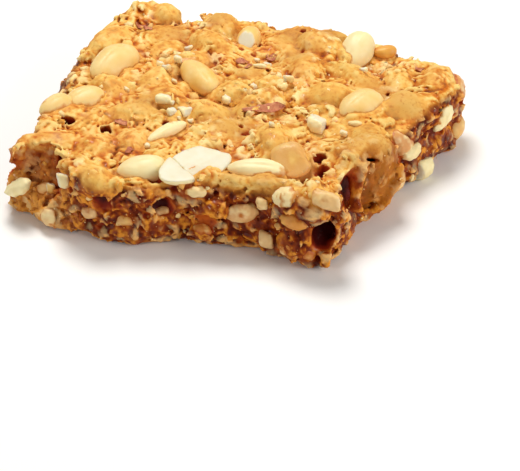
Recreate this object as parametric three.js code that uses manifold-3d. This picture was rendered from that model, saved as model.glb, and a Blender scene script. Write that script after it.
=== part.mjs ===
// A piece of nut brittle: a hand-broken slab of opaque toffee, packed with whole, split and broken peanuts.
// Millimetres, +Z up. X runs along the longer edge, and the flat underside, poured on a tray, lies at z = 0.
import * as THREE from "three";
import { mergeVertices } from "three/addons/utils/BufferGeometryUtils.js";
import Module from "manifold-3d";

const wasm = await Module();
wasm.setup();

// Driving dimensions of the slab
const SLAB_HEIGHT = 18.6;
const BOX_CENTRE = { x: 1.4, y: 1.2 };
const OUTLINE = [
  // front edge, from the left tip
  [-47, -39], [-30, -43], [-14, -44], [0, -38.5], [17, -35], [36.5, -36],
  // right edge
  [39.5, -18], [44.5, 2], [50.5, 18], [54, 31],
  // back edge, with the notch beside the raised left corner
  [44, 38.5], [25, 44.5], [14, 45], [1, 45.5], [-18, 45.5], [-28, 38], [-41, 43.5],
  // left edge
  [-49.5, 33], [-50.5, 11], [-46.5, -12], [-45.5, -28],
];
const STEPS_ROUND = 72;
const TOP_RINGS = [0.93, 0.81, 0.67, 0.52, 0.36, 0.19];
const SIDE_RINGS = [
  // share of the height, and how far the cut side stands out of the outline there
  { level: 0, out: -0.7 },
  { level: 0.14, out: 0.1 },
  { level: 0.38, out: 0.2 },
  { level: 0.62, out: -0.1 },
  { level: 0.85, out: 0.5 },
  { level: 0.97, out: -0.7 },
];
const UNDERCUT = 0.8; // how far the core reaches below the tray before the flat cut

// Slow waves of the poured top and of the broken sides
const TOP_WAVES = [
  { height: 0.55, lengthX: 31, lengthY: 44, phase: 0.6 },
  { height: 0.45, lengthX: -23, lengthY: 19, phase: 2.1 },
  { height: 0.35, lengthX: 13, lengthY: -27, phase: 4.4 },
];
const SIDE_WAVE = { depth: 0.75, length: 16, turnWithLevel: 2.6 };

// Raised folds and sunk places of the top: place, reach and height of each
const SWELLS = [
  { name: "folded curl", x: 37.5, y: -14, reach: 7.5, rise: 3.4 },
  { name: "front right corner", x: 35, y: -32, reach: 5, rise: 1.9 },
  { name: "valley by the corner", x: 29.5, y: -24, reach: 4.2, rise: -2.4 },
  { name: "back left crest", x: -42, y: 40, reach: 5, rise: 2.6 },
  { name: "left shoulder", x: -42, y: -31, reach: 6, rise: 0.8 },
  { name: "mid hollow", x: -25, y: -14, reach: 8, rise: -0.9 },
  { name: "back swell", x: 11, y: 40, reach: 11, rise: 1.3 },
  { name: "right edge swell", x: 44, y: 16, reach: 8, rise: 0.9 },
];

// Open pits and breaks in the toffee, each an ellipsoid cut out of it
const HOLLOWS = [
  { name: "bubble in the corner", x: 38.2, y: -37.4, z: 10.6, sizes: [8, 9, 9] },
  { name: "mouth of the curl", x: 41.5, y: -19.5, z: 18.5, sizes: [5.5, 4.6, 7.5] },
  { name: "break at the left tip", x: -42.5, y: -42, z: 13, sizes: [15, 8.5, 7.5] },
  { name: "break under the left lip", x: -49, y: -36, z: 12, sizes: [6, 9, 8] },
  { name: "pit by the front nut", x: 30.6, y: -19.8, z: 17.2, sizes: [4.4, 4.2, 7] },
  { name: "pit on the left", x: -27.2, y: -22.4, z: 17.8, sizes: [3, 3, 5] },
  { name: "slit under the left nuts", x: -38.5, y: -21.5, z: 17.6, sizes: [5, 2.8, 4] },
];

// Peanut kernels: size of a usual one, and the share of it that a split or broken one keeps
const PEANUT = { length: 14, width: 8.6, height: 7.6 };
const SIZE_SPREAD = 0.14;
const KERNEL_SIDES = 7;
const KERNEL_BANDS = 5;
const BLUNT_END = 0.14; // how much wider one end of a kernel is than the other
const FLAT_SIDE = 0.42; // how deep the flat side of a split kernel lies, as a share of its height

// The kernels that show best. lift is the height of the middle over the top there, or z gives it outright;
// yaw turns the long axis from +X and tilt raises its far end, in degrees.
const SHOWN_KERNELS = [
  { name: "big pale", x: -38, y: 8.5, length: 17.5, width: 11, height: 9, yaw: 79, lift: -0.9 },
  { name: "long middle", x: -13, y: 8.5, length: 16.6, width: 8.8, height: 7.5, yaw: -40, lift: -1.1 },
  { name: "left pair, inner", x: -39, y: -10.5, length: 12, width: 8, height: 7, yaw: 57, lift: -1.3 },
  { name: "left pair, outer", x: -43.5, y: -18, length: 9.5, width: 7, height: 6.5, yaw: 64, lift: -1.5 },
  { name: "veiled back left", x: -45, y: 20, length: 13, width: 9, height: 7.5, yaw: 74, lift: -2 },
  { name: "back cut", x: -8.5, y: 33, length: 11.5, width: 7.5, height: 8, yaw: 94, lift: -1.2 },
  { name: "back standing", x: 22.5, y: 35.5, length: 14, width: 10, height: 9, yaw: 82, tilt: 24, lift: -0.2 },
  { name: "back toffee-coated", x: 30, y: 39.5, length: 8, width: 5.5, height: 5, yaw: 30, lift: 0.6 },
  { name: "right oval", x: 31.5, y: 10.5, length: 13, width: 9, height: 7.5, yaw: 60, lift: -0.8 },
  { name: "veiled middle right", x: 22, y: 13, length: 12, width: 9.5, height: 8, yaw: 20, lift: -1.4 },
  { name: "veiled right", x: 41, y: 14.5, length: 12.5, width: 9, height: 8, yaw: 58, lift: -2 },
  { name: "front veiled", x: 22.5, y: -20.5, length: 13.5, width: 10, height: 8.5, yaw: -50, lift: -0.2 },
  { name: "white slim", x: 15.5, y: -27, length: 13.5, width: 5.5, height: 5, yaw: 12, lift: -0.6 },
  { name: "white split", x: 1.5, y: -28, length: 16, width: 10.5, height: 5.5, yaw: 23, lift: -1 },
  { name: "white corner", x: -1.5, y: -36, length: 9.5, width: 7.5, height: 5, yaw: -46, lift: -0.6 },
  { name: "front oval", x: -11.5, y: -34.8, length: 13, width: 8.5, height: 7, yaw: 30, lift: -0.9 },
  { name: "veiled front edge", x: -21.5, y: -42, length: 11, width: 8.5, height: 8, yaw: -25, lift: -1.8 },
  { name: "cut chunk", x: 23.2, y: -2, length: 7.5, width: 6, height: 5, yaw: -6, lift: -0.6 },
  { name: "slanted slim", x: -12, y: -18, length: 13.5, width: 5, height: 4.5, yaw: 62, lift: -0.9 },
  { name: "small round", x: 1.2, y: 22, length: 5, width: 4.5, height: 4.5, yaw: 0, lift: 0 },
  { name: "back left small", x: -36, y: 39, length: 9, width: 7, height: 7, yaw: -30, lift: -0.8 },
  { name: "corner", x: 35.5, y: -33.5, length: 9, width: 7, height: 6.5, yaw: 5, lift: -0.7 },
  { name: "front round", x: 26.3, y: -34.5, z: 17, length: 7.5, width: 7, height: 7, yaw: 0 },
  { name: "cream edge", x: -35, y: -42, z: 12.8, length: 7, width: 6, height: 7, yaw: 20 },
  { name: "left tip white", x: -44.6, y: -39, z: 5.5, length: 10, width: 6, height: 5.5, yaw: -20, tilt: 18 },
  { name: "grey low left", x: -36, y: -42.5, z: 3.4, length: 7.5, width: 6, height: 6.5, yaw: 10 },
  { name: "right white", x: 48.2, y: 13, z: 3.6, length: 8, width: 6, height: 7, yaw: 76 },
  { name: "right pale", x: 50.3, y: 20, z: 13.5, length: 9, width: 5.5, height: 7, yaw: 70, tilt: 35 },
  { name: "front low", x: 21.5, y: -34.6, z: 5.2, length: 7.5, width: 5.5, height: 6, yaw: 8 },
  { name: "front middle", x: 14.5, y: -35, z: 11.5, length: 10, width: 5.5, height: 5.5, yaw: 2, tilt: 14 },
];

// The rule that spreads the other kernels over the top and along the broken sides
const SEED = 2027;
const SPLIT_SHARE = 0.4;
const TOP_FILL = {
  tries: 900,
  field: { left: -50, right: 56, front: -46, back: 47 },
  apart: 9.4, // between the middles of two kernels
  inset: 5, // from the edge of the top
  tilt: 12,
  liftLow: -3,
  liftHigh: -0.9,
};
const SIDE_FILL = {
  apart: 11.2,
  rows: [5.4, 13.2], // heights over the tray
  jitter: 1.5,
  inset: 2.4, // from the outline to the kernel's middle
  sunk: 1.3, // least depth inside the outline
  clear: 6.6, // from the shown kernels and the hollows
  turn: 15,
  tilt: 45,
};
const TRAY_BLOCK = { side: 200, height: 80 }; // larger than the piece

const TOFFEE = { color: 0xc98a45, roughness: 0.45, metalness: 0 };

// A linear congruential stream of numbers from 0 to 1, the same on every run.
function randomStream(seed) {
  let state = seed >>> 0;
  return () => {
    state = (Math.imul(state, 1664525) + 1013904223) >>> 0;
    return state / 4294967296;
  };
}

const between = (random, low, high) => low + (high - low) * random();

function outlineCurve() {
  const points = OUTLINE.map(([x, y]) => new THREE.Vector3(x, y, 0));
  return new THREE.CatmullRomCurve3(points, true, "catmullrom", 0.5);
}

// Even steps round the outline: place, outward direction and distance walked.
function rimSteps(count) {
  const curve = outlineCurve();
  const round = curve.getLength();
  return Array.from({ length: count }, (_, i) => {
    const share = i / count;
    const tangent = curve.getTangentAt(share);
    return { at: curve.getPointAt(share), out: new THREE.Vector3(tangent.y, -tangent.x, 0), walked: share * round };
  });
}

function topHeight(x, y) {
  let z = SLAB_HEIGHT;
  for (const wave of TOP_WAVES) {
    z += wave.height * Math.sin(2 * Math.PI * (x / wave.lengthX + y / wave.lengthY) + wave.phase);
  }
  for (const swell of SWELLS) {
    const far = ((x - swell.x) ** 2 + (y - swell.y) ** 2) / swell.reach ** 2;
    z += swell.rise * Math.exp(-far);
  }
  return z;
}

function sideWaviness(walked, level) {
  const turn = (2 * Math.PI * walked) / SIDE_WAVE.length;
  return SIDE_WAVE.depth * Math.sin(turn + SIDE_WAVE.turnWithLevel * Math.sin(3 * level + turn / 5));
}

// The toffee slab alone: side rings from the tray up, top rings inwards, and a fan at each end.
function slabGeometry() {
  const rim = rimSteps(STEPS_ROUND);
  const middle = rim.reduce((sum, step) => sum.add(step.at), new THREE.Vector3()).divideScalar(rim.length);
  const positions = [];
  const addPoint = (x, y, z) => positions.push(x, y, z);
  for (const ring of SIDE_RINGS) {
    for (const step of rim) {
      const out = ring.out + sideWaviness(step.walked, ring.level);
      const p = step.at.clone().addScaledVector(step.out, out);
      const height = topHeight(p.x, p.y);
      addPoint(p.x, p.y, ring.level * height - (ring.level === 0 ? UNDERCUT : 0));
    }
  }
  for (const share of TOP_RINGS) {
    for (const step of rim) {
      const p = middle.clone().lerp(step.at, share);
      addPoint(p.x, p.y, topHeight(p.x, p.y));
    }
  }
  const rings = SIDE_RINGS.length + TOP_RINGS.length;
  const topCentre = rings * STEPS_ROUND;
  addPoint(middle.x, middle.y, topHeight(middle.x, middle.y));
  addPoint(middle.x, middle.y, -UNDERCUT);
  const index = [];
  for (let i = 0; i < STEPS_ROUND; i++) {
    const next = (i + 1) % STEPS_ROUND;
    for (let ring = 0; ring < rings - 1; ring++) {
      const low = ring * STEPS_ROUND;
      const high = low + STEPS_ROUND;
      index.push(low + i, low + next, high + next, low + i, high + next, high + i);
    }
    const last = (rings - 1) * STEPS_ROUND;
    index.push(last + i, last + next, topCentre);
    index.push(next, i, topCentre + 1);
  }
  const geometry = new THREE.BufferGeometry();
  geometry.setAttribute("position", new THREE.Float32BufferAttribute(positions, 3));
  geometry.setIndex(index);
  return geometry;
}

// A kernel with its long axis along X, one end blunter than the other, and its lower side flat if it is split.
function kernelGeometry({ length, width, height, split = false }) {
  const geometry = new THREE.SphereGeometry(1, KERNEL_SIDES, KERNEL_BANDS);
  geometry.rotateZ(Math.PI / 2);
  const position = geometry.attributes.position;
  for (let i = 0; i < position.count; i++) {
    const along = position.getX(i);
    const girth = 1 + BLUNT_END * along;
    const z = split ? Math.max(position.getZ(i), -FLAT_SIDE) : position.getZ(i);
    position.setXYZ(i, (along * length) / 2, (position.getY(i) * girth * width) / 2, (z * girth * height) / 2);
  }
  return geometry;
}

function ellipsoidGeometry([sizeX, sizeY, sizeZ]) {
  const geometry = new THREE.SphereGeometry(0.5, KERNEL_SIDES, KERNEL_BANDS);
  geometry.rotateX(Math.PI / 2);
  geometry.scale(sizeX, sizeY, sizeZ);
  return geometry;
}

function solidOf(geometry) {
  geometry.deleteAttribute("normal");
  geometry.deleteAttribute("uv");
  const merged = mergeVertices(geometry, 1e-4);
  const mesh = new wasm.Mesh({
    numProp: 3,
    vertProperties: new Float32Array(merged.attributes.position.array),
    triVerts: new Uint32Array(merged.index.array),
  });
  return new wasm.Manifold(mesh);
}

function geometryOf(solid) {
  const mesh = solid.getMesh();
  const geometry = new THREE.BufferGeometry();
  geometry.setAttribute("position", new THREE.BufferAttribute(mesh.vertProperties, 3));
  geometry.setIndex(new THREE.BufferAttribute(mesh.triVerts, 1));
  geometry.computeVertexNormals();
  return geometry;
}

function placedKernel(kernel) {
  const z = kernel.z ?? topHeight(kernel.x, kernel.y) + kernel.lift;
  const turn = new THREE.Euler(
    THREE.MathUtils.degToRad(kernel.roll ?? 0),
    THREE.MathUtils.degToRad(-(kernel.tilt ?? 0)),
    THREE.MathUtils.degToRad(kernel.yaw),
    "ZYX",
  );
  const place = new THREE.Matrix4().makeRotationFromEuler(turn).setPosition(kernel.x, kernel.y, z);
  return solidOf(kernelGeometry(kernel).applyMatrix4(place));
}

function randomKernelSize(random) {
  const scale = between(random, 1 - SIZE_SPREAD, 1 + SIZE_SPREAD);
  const slender = between(random, 1 - SIZE_SPREAD, 1 + SIZE_SPREAD);
  return { length: PEANUT.length * scale, width: PEANUT.width * slender, height: PEANUT.height * slender };
}

// Distance from a point to the outline, for points inside it.
function depthInside(x, y, rim) {
  let nearest = Infinity;
  let inside = true;
  for (const step of rim) {
    const dx = x - step.at.x;
    const dy = y - step.at.y;
    const away = Math.hypot(dx, dy);
    if (away < nearest) {
      nearest = away;
      inside = dx * step.out.x + dy * step.out.y < 0;
    }
  }
  return inside ? nearest : -nearest;
}

// Kernels sunk in the top, thrown at random and kept where they are clear of the others.
function topFill(random, taken) {
  const rim = rimSteps(STEPS_ROUND);
  const kernels = [];
  for (let i = 0; i < TOP_FILL.tries; i++) {
    const x = between(random, TOP_FILL.field.left, TOP_FILL.field.right);
    const y = between(random, TOP_FILL.field.front, TOP_FILL.field.back);
    if (depthInside(x, y, rim) < TOP_FILL.inset) continue;
    if ([...taken, ...kernels].some((k) => Math.hypot(k.x - x, k.y - y) < TOP_FILL.apart)) continue;
    kernels.push({
      x,
      y,
      ...randomKernelSize(random),
      yaw: between(random, 0, 180),
      tilt: between(random, -TOP_FILL.tilt, TOP_FILL.tilt),
      lift: between(random, TOP_FILL.liftLow, TOP_FILL.liftHigh),
      split: random() < SPLIT_SHARE,
    });
  }
  return kernels;
}

// Kernels cut or laid bare along the sides, in rows that step round the outline.
function sideFill(random, taken) {
  const steps = rimSteps(Math.round(outlineCurve().getLength() / SIDE_FILL.apart));
  const rim = rimSteps(STEPS_ROUND);
  const kernels = [];
  SIDE_FILL.rows.forEach((row, rowIndex) => {
    steps.forEach((step, i) => {
      const slide = (rowIndex / SIDE_FILL.rows.length) * SIDE_FILL.apart;
      const along = new THREE.Vector3(-step.out.y, step.out.x, 0);
      const heading = THREE.MathUtils.radToDeg(Math.atan2(along.y, along.x));
      const at = step.at.clone();
      at.addScaledVector(along, slide + between(random, -SIDE_FILL.jitter, SIDE_FILL.jitter));
      at.addScaledVector(step.out, sideWaviness(step.walked, row / SLAB_HEIGHT) - SIDE_FILL.inset);
      const z = row + between(random, -SIDE_FILL.jitter, SIDE_FILL.jitter);
      const kernel = {
        x: at.x,
        y: at.y,
        z,
        ...randomKernelSize(random),
        yaw: heading + between(random, -SIDE_FILL.turn, SIDE_FILL.turn),
        tilt: between(random, -SIDE_FILL.tilt, SIDE_FILL.tilt),
      };
      const near = (k) => Math.hypot(k.x - at.x, k.y - at.y, (k.z ?? SLAB_HEIGHT) - z) < SIDE_FILL.clear;
      const cut = (h) => Math.hypot(h.x - at.x, h.y - at.y, h.z - z) < SIDE_FILL.clear;
      const sunk = depthInside(at.x, at.y, rim) > SIDE_FILL.sunk;
      if (sunk && !taken.some(near) && !HOLLOWS.some(cut)) kernels.push(kernel);
    });
  });
  return kernels;
}

// Everything above the tray, as one block to keep.
function aboveTray() {
  const block = new THREE.BoxGeometry(TRAY_BLOCK.side, TRAY_BLOCK.side, TRAY_BLOCK.height);
  block.translate(0, 0, TRAY_BLOCK.height / 2);
  return solidOf(block);
}

function nutBrittle() {
  const random = randomStream(SEED);
  const onTop = topFill(random, SHOWN_KERNELS);
  const onSides = sideFill(random, SHOWN_KERNELS);
  let solid = solidOf(slabGeometry());
  for (const hollow of HOLLOWS) {
    const shape = ellipsoidGeometry(hollow.sizes).translate(hollow.x, hollow.y, hollow.z);
    solid = solid.subtract(solidOf(shape));
  }
  for (const kernel of [...SHOWN_KERNELS, ...onTop, ...onSides]) {
    solid = solid.add(placedKernel(kernel));
  }
  return geometryOf(solid.intersect(aboveTray()));
}

const piece = new THREE.Mesh(nutBrittle(), new THREE.MeshStandardMaterial(TOFFEE));
piece.name = "nut_brittle_piece";
piece.position.set(-BOX_CENTRE.x, -BOX_CENTRE.y, 0);

const group = new THREE.Group();
group.add(piece);

export default group;
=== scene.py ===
"""The looks of a piece of nut brittle: a hand-broken slab of toffee full of whole, split and broken peanuts.

Lengths are slab millimetres unless a name says otherwise: X along the longer edge, Z up from the underside.
The toffee and each kernel are first solid distances on a fine grid, negative inside, and then meshes.
"""

from __future__ import annotations

import itertools
import logging
import math
from dataclasses import dataclass, field, replace
from enum import Enum
import bpy
import numpy as np
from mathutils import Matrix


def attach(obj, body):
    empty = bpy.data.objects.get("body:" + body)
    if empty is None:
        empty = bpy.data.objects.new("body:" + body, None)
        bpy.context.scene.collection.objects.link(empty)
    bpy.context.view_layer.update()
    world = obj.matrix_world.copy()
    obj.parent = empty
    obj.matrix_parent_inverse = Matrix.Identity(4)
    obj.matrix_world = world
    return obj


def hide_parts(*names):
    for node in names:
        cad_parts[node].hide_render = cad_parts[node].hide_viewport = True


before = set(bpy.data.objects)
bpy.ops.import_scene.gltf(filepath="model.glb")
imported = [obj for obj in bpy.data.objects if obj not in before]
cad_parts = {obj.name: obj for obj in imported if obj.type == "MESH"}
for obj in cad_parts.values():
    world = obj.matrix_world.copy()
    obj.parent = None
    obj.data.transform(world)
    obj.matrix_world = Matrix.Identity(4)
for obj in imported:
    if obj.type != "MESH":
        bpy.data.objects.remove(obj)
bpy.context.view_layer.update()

import openvdb
from mathutils import Vector

LOG = logging.getLogger("nut_brittle")

METRES = 0.001  # metres in a millimetre
BODY = "root"
NODE = "nut_brittle_piece"
BOX_CENTRE = (1.4, 1.2)  # the slab's own zero lies this far from the middle of the frame
SLAB_HEIGHT = 18.6
OUTLINE = (
    # front edge, from the left tip
    (-47, -39), (-30, -43), (-14, -44), (0, -38.5), (17, -35), (36.5, -36),
    # right edge
    (39.5, -18), (44.5, 2), (50.5, 18), (54, 31),
    # back edge, with the notch beside the raised left corner
    (44, 38.5), (25, 44.5), (14, 45), (1, 45.5), (-18, 45.5), (-28, 38), (-41, 43.5),
    # left edge
    (-49.5, 33), (-50.5, 11), (-46.5, -12), (-45.5, -28),
)
STEPS_ROUND = 72
SIDE_LEVELS = (0, 0.14, 0.38, 0.62, 0.85, 0.97)
SIDE_OUT = (-0.7, 0.1, 0.2, -0.1, 0.5, -0.7)
TOP_WAVES = ((0.55, 31, 44, 0.6), (0.45, -23, 19, 2.1), (0.35, 13, -27, 4.4))
SIDE_WAVE_DEPTH, SIDE_WAVE_LENGTH, SIDE_WAVE_TURN = 0.75, 16, 2.6
SEED = 2027


@dataclass(frozen=True)
class Swell:
    """A raised fold or a sunk place of the top."""

    x: float
    y: float
    reach: float
    rise: float


SWELLS = (
    Swell(37.5, -14, 7.5, 3.4),  # folded curl
    Swell(35, -32, 5, 1.9),  # front right corner
    Swell(29.5, -24, 4.2, -2.4),  # valley by the corner
    Swell(-42, 40, 5, 2.6),  # back left crest
    Swell(-42, -31, 6, 0.8),  # left shoulder
    Swell(-25, -14, 8, -0.9),  # mid hollow
    Swell(11, 40, 11, 1.3),  # back swell
    Swell(44, 16, 8, 0.9),  # right edge swell
)


@dataclass(frozen=True)
class Blob:
    """An egg of toffee laid on the slab, or the shape of a pit cut out of it: middle, sizes and turn."""

    x: float
    y: float
    z: float
    sizes: tuple[float, float, float]
    yaw: float = 0.0
    tilt: float = 0.0
    lumpy: bool = False  # a pit with torn, lumpy walls
    recut: bool = False  # a hollow of the solid that TEARS cuts in a finer shape


# Hollows that the CAD solid has too
HOLLOWS = (
    Blob(38.2, -37.4, 10.6, (8, 9, 9), recut=True),  # bubble in the corner
    Blob(41.5, -19.5, 18.5, (5.5, 4.6, 7.5)),  # mouth of the curl
    Blob(-42.5, -42, 13, (15, 8.5, 7.5)),  # break at the left tip
    Blob(-49, -36, 12, (6, 9, 8)),  # break under the left lip
    Blob(30.6, -19.8, 17.2, (4.4, 4.2, 7), recut=True),  # pit by the front nut
    Blob(-27.2, -22.4, 17.8, (3, 3, 5)),  # pit on the left
    Blob(-38.5, -21.5, 17.6, (5, 2.8, 4)),  # slit under the left nuts
)

# Places torn out of the toffee that are too small for the solid
TEARS = (
    Blob(40.7, -21.9, 15.2, (13, 9.2, 12.6), 106, -35),  # mouth of the shell
    Blob(40.6, -12.2, 18.4, (6, 5.4, 0.8), 106, -35),  # slit over it
    Blob(36.4, -34.4, 9.4, (13, 6.6, 8.6), 110),  # bubble in the corner
    Blob(44.2, 0.6, 16.8, (4.4, 1.6, 4.6), 62),  # slit on the right
    Blob(29.0, -16.6, 18.8, (3.6, 2.2, 4.4), 40),  # pits by the front nut
    Blob(30.6, -20.4, 18.2, (4.2, 2.4, 5), 20),
    Blob(7.4, -11.4, 19.2, (3.6, 1.7, 3.6), 50),  # pit in the middle
    Blob(-13.6, -15.4, 19.4, (1.8, 1.4, 3), 20),
    Blob(-6.6, 32, 18.6, (5, 2.4, 4), 10),  # under the back nut
    Blob(-6.6, -37.2, 18.4, (4.4, 3, 5), 30),  # beside the front oval
    Blob(-38.2, -41.0, 13.8, (18, 16, 10.6), 102, 56, lumpy=True),  # the left break
    Blob(-50.6, -40.4, 17.2, (10.6, 9.6, 9)),  # its rounded upper corner
    Blob(-19, -43.8, 12, (5, 3.6, 6.5), 10),  # dark places along the front
    Blob(-4, -39.6, 11.5, (7, 4.2, 5), 10),
    Blob(7, -38.4, 8, (10, 3.6, 6), 6),
    Blob(18.5, -36.4, 9, (5, 3.4, 4), 6),
)


@dataclass(frozen=True)
class Strand:
    """A rounded strand or lip of toffee."""

    points: tuple[tuple[float, float, float], ...]  # the places that it runs through
    half: float  # half its width


# The rolled lip over the left break
LIP = Strand(
    ((-45, -33.6, 14.6), (-44.4, -33.2, 17), (-39.8, -32.1, 17.7), (-34.6, -30.9, 17.9), (-31.4, -31.4, 16.6)),
    2.2,
)
RIDGES = (
    Strand(((12, 39, 20.4), (17, 36, 20.2), (21, 31, 19.8)), 1.5),  # fold by the standing kernel
    Strand(((4, -33.5, 18.4), (12, -33, 18.6), (21, -31.5, 18.8), (27, -30, 18.6)), 1.6),  # front lip
    Strand(((37, -36, 2), (37.6, -35.5, 8), (39.6, -32.5, 14), (38, -31.5, 19)), 1.5),  # corner ridge
    Strand(((32.6, -36, 3), (31.8, -36.4, 8), (32.4, -35.6, 14)), 1.4),  # other lip of the corner bubble
    Strand(
        (
            (46.8, -4.6, 13), (46.5, -6.8, 9.4), (45, -9.6, 6.2), (43.4, -12.4, 4.4), (41.6, -15.2, 3.9),
            (40, -17.6, 4.8),
        ),
        1.2,
    ),  # rim of the shell
)

# Swellings of smooth toffee on the sides
BULGES = (
    Blob(37.4, -9.0, 17.8, (14, 9, 6.5), 68),  # shell at the right: its back
    Blob(41.4, -7.6, 10.5, (15, 8.6, 20), 68),  # its flank
    Blob(46.3, 9.5, 4.4, (12, 6, 8), 76),  # foot that holds the white kernel
    Blob(-33, -41.5, 2.8, (14, 7, 6), -4),  # sill of the left break
    Blob(-45.8, -35.4, 7.5, (7.4, 6.4, 14), 10),  # its left wall
)

# Places where the toffee was smoothed out, first on the top and then on the sides: X, Y and reach
CALM_PLACES = (
    (38.5, -9.5, 8), (4, 38, 6), (14, 42, 6), (33, 20, 5), (22.5, -20.5, 6), (12, -31, 4), (20, -30.5, 4.5),
    (3, -10, 6), (-22, -9, 5), (-2, 16, 4), (42, 14, 5), (-19, 38, 4), (8, 28, 5), (-30, 30, 4),
)
CALM_FLANK = (42, -8, 7.5)
CALM_SIDES = (CALM_FLANK, (-40, -31.5, 5), (36.6, -37, 4))
# Torn places where the finish lessens the painted shade, the left break also painted lighter: X, Y and reach
LEFT_BREAK = (-39, -39, 11)
MOUTH = (40.7, -20, 6)
CLEAR_OF_TEARS = 2.6  # a kernel of the spread whose middle is nearer than this to a torn place is left out


class Coat(Enum):
    """How much toffee lies over a kernel, in millimetres; a negative one leaves it bare."""

    BARE = -0.8
    SMEARED = -0.25
    VEILED = 0.4
    BURIED = 0.9


class Cut(Enum):
    """How a kernel came apart, as flat breaks: the bearing, rise and place of each, in shares of the kernel."""

    WHOLE = ()
    SPLIT = ((0.0, 90.0, 0.0),)
    SNAPPED = ((0.0, 8.0, 0.45),)
    CHUNK = ((10.0, 5.0, 0.4), (185.0, -6.0, 0.5), (60.0, 60.0, 0.45))


@dataclass(frozen=True)
class Kernel:
    """One peanut kernel, with its long axis along X before it is turned."""

    x: float
    y: float
    length: float
    width: float
    height: float
    yaw: float
    lift: float = 0.0
    z: float | None = None
    tilt: float = 0.0
    roll: float = 0.0
    coat: Coat = Coat.BARE
    cut: Cut = Cut.WHOLE
    toast: float = 0.45  # 0 is a raw white, 1 is a deep roast
    trims: tuple[tuple[float, float, float], ...] = ()  # more breaks, each placed in millimetres
    moved: tuple[float, float, float] = (0.0, 0.0, 0.0)  # from the place that the spread keeps clear
    glaze: float = 0.0  # how brown a thin glaze of toffee makes it


def chip(
    x: float, y: float, length: float, width: float, height: float, yaw: float, lift: float, toast: float
) -> Kernel:
    """A small chunk of kernel that lies on the top.

    Args:
        x: its place along the slab.
        y: its place across it.
        length: its length.
        width: its width.
        height: its height.
        yaw: its swing in degrees.
        lift: how far its middle lies over the surface.
        toast: its roast.

    Returns:
        The chunk.
    """
    return Kernel(x, y, length, width, height, yaw, lift, cut=Cut.CHUNK, toast=toast)


# Breaks of the two pieces that one split kernel left
SPLIT_HALF = ((177, 0, 3.0), (29, 0, 8.2))
SPLIT_CORNER = ((-3, 0, -3.3), (-95, 0, 5.6))
# Bits too small for the solid
SMALL_BITS = (
    Kernel(-17.2, -6.4, 10, 4.4, 3, 10, 0.3, cut=Cut.CHUNK, toast=0.0, trims=((120, 12, 1.5),)),
    Kernel(-10.3, -8.1, 8.4, 5, 3, 40, 0.3, cut=Cut.CHUNK, toast=0.0, trims=((-70, 25, 1.4),)),
    chip(-13, -11.5, 4.4, 3.2, 3, -30, 0.5, 0.05),
    chip(-14.4, -7.6, 2.8, 2, 1.8, -20, 0.4, 0.0),
    chip(-8.2, -11, 3, 2, 1.8, 70, 0.4, 0.0),
    chip(-10.6, -12.6, 2.4, 1.8, 1.6, 15, 0.4, 0.1),
    chip(-2.3, 0.6, 4.6, 3.6, 3, 0, 0.4, 0.2),
    chip(-26.5, 12.5, 4.4, 3.4, 3, 25, 0.5, 0.35),
    chip(-23, 8.5, 3.8, 3, 3, 60, 0.6, 0.4),
    chip(-21.5, 13.5, 4.6, 3, 3, 10, 0.4, 0.3),
    chip(-23, 24.5, 4.2, 3.2, 3, 80, 0.5, 0.3),
    chip(10, 14, 5.2, 3.4, 3, 35, 0.4, 0.4),
    chip(2, 9, 3.4, 2.4, 2.4, -20, 0.5, 0.1),
    chip(14.5, -11.7, 3, 2.2, 2.2, 20, 0.5, 0.1),
    chip(31.2, -3.6, 4.2, 2.4, 2.6, 10, 0.3, 0.1),
    chip(-3, 25, 2.8, 1.8, 2, 60, 0.6, 0.1),
    Kernel(0, 18.5, 4.6, 1.4, 2, 8, 0.5, toast=0.1),
    Kernel(32.5, 1.2, 4.4, 1.8, 2, 8, 0.4, toast=0.3),
    chip(-19.5, 5.5, 3, 2.4, 2.4, 20, 0.5, 0.35),
    chip(27.5, 25, 4, 2.6, 2.6, 75, 0.4, 0.3),
    chip(-14, -25.5, 3.4, 2.2, 2.2, 15, 0.4, 0.25),
    chip(-30, -2.5, 3.2, 2.4, 2.4, 15, 0.4, 0.4),
    Kernel(20.3, -34.4, 6, 4, 4, 5, z=15.4, cut=Cut.CHUNK, toast=0.25, glaze=0.45),  # under the front lip
    Kernel(3.1, -37.2, 7, 3.4, 3, 10, z=16.4, toast=0.2, glaze=0.15),  # white bit at the front
    Kernel(29.2, -36.0, 7.5, 5, 5, 8, z=13.2, coat=Coat.SMEARED, toast=0.9, glaze=0.6),  # by the bubble
    Kernel(27, -36.6, 5.4, 4, 4, 10, z=4.6, cut=Cut.CHUNK, toast=0.35, glaze=0.6),
    Kernel(31.6, -36, 6.5, 4, 4.4, -8, z=4.2, coat=Coat.SMEARED, toast=0.7, glaze=0.7),
    Kernel(-37.9, -38.1, 4.8, 4.2, 3.4, 0, z=8.1, toast=0.5, glaze=0.5),  # round one in the left break
    Kernel(-29.9, -42.2, 6, 4.4, 5.4, 30, z=15.6, cut=Cut.CHUNK, toast=0.1),
    Kernel(-22.6, -43.4, 4.6, 3.8, 3.8, 20, z=8, coat=Coat.SMEARED, toast=0.2, glaze=0.5),
    Kernel(8.5, -37, 8, 4.6, 4.6, 12, z=12.4, coat=Coat.VEILED, toast=0.5, glaze=0.8),
    Kernel(5.2, -38, 6, 4, 4, -15, z=5.2, coat=Coat.VEILED, toast=0.6, glaze=0.8),
    Kernel(46.2, 7.5, 7, 4.4, 5, 70, z=10, toast=0.2),
    Kernel(44.4, -2.5, 5, 4, 4, 60, z=6, coat=Coat.SMEARED, toast=0.5),
)

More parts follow.
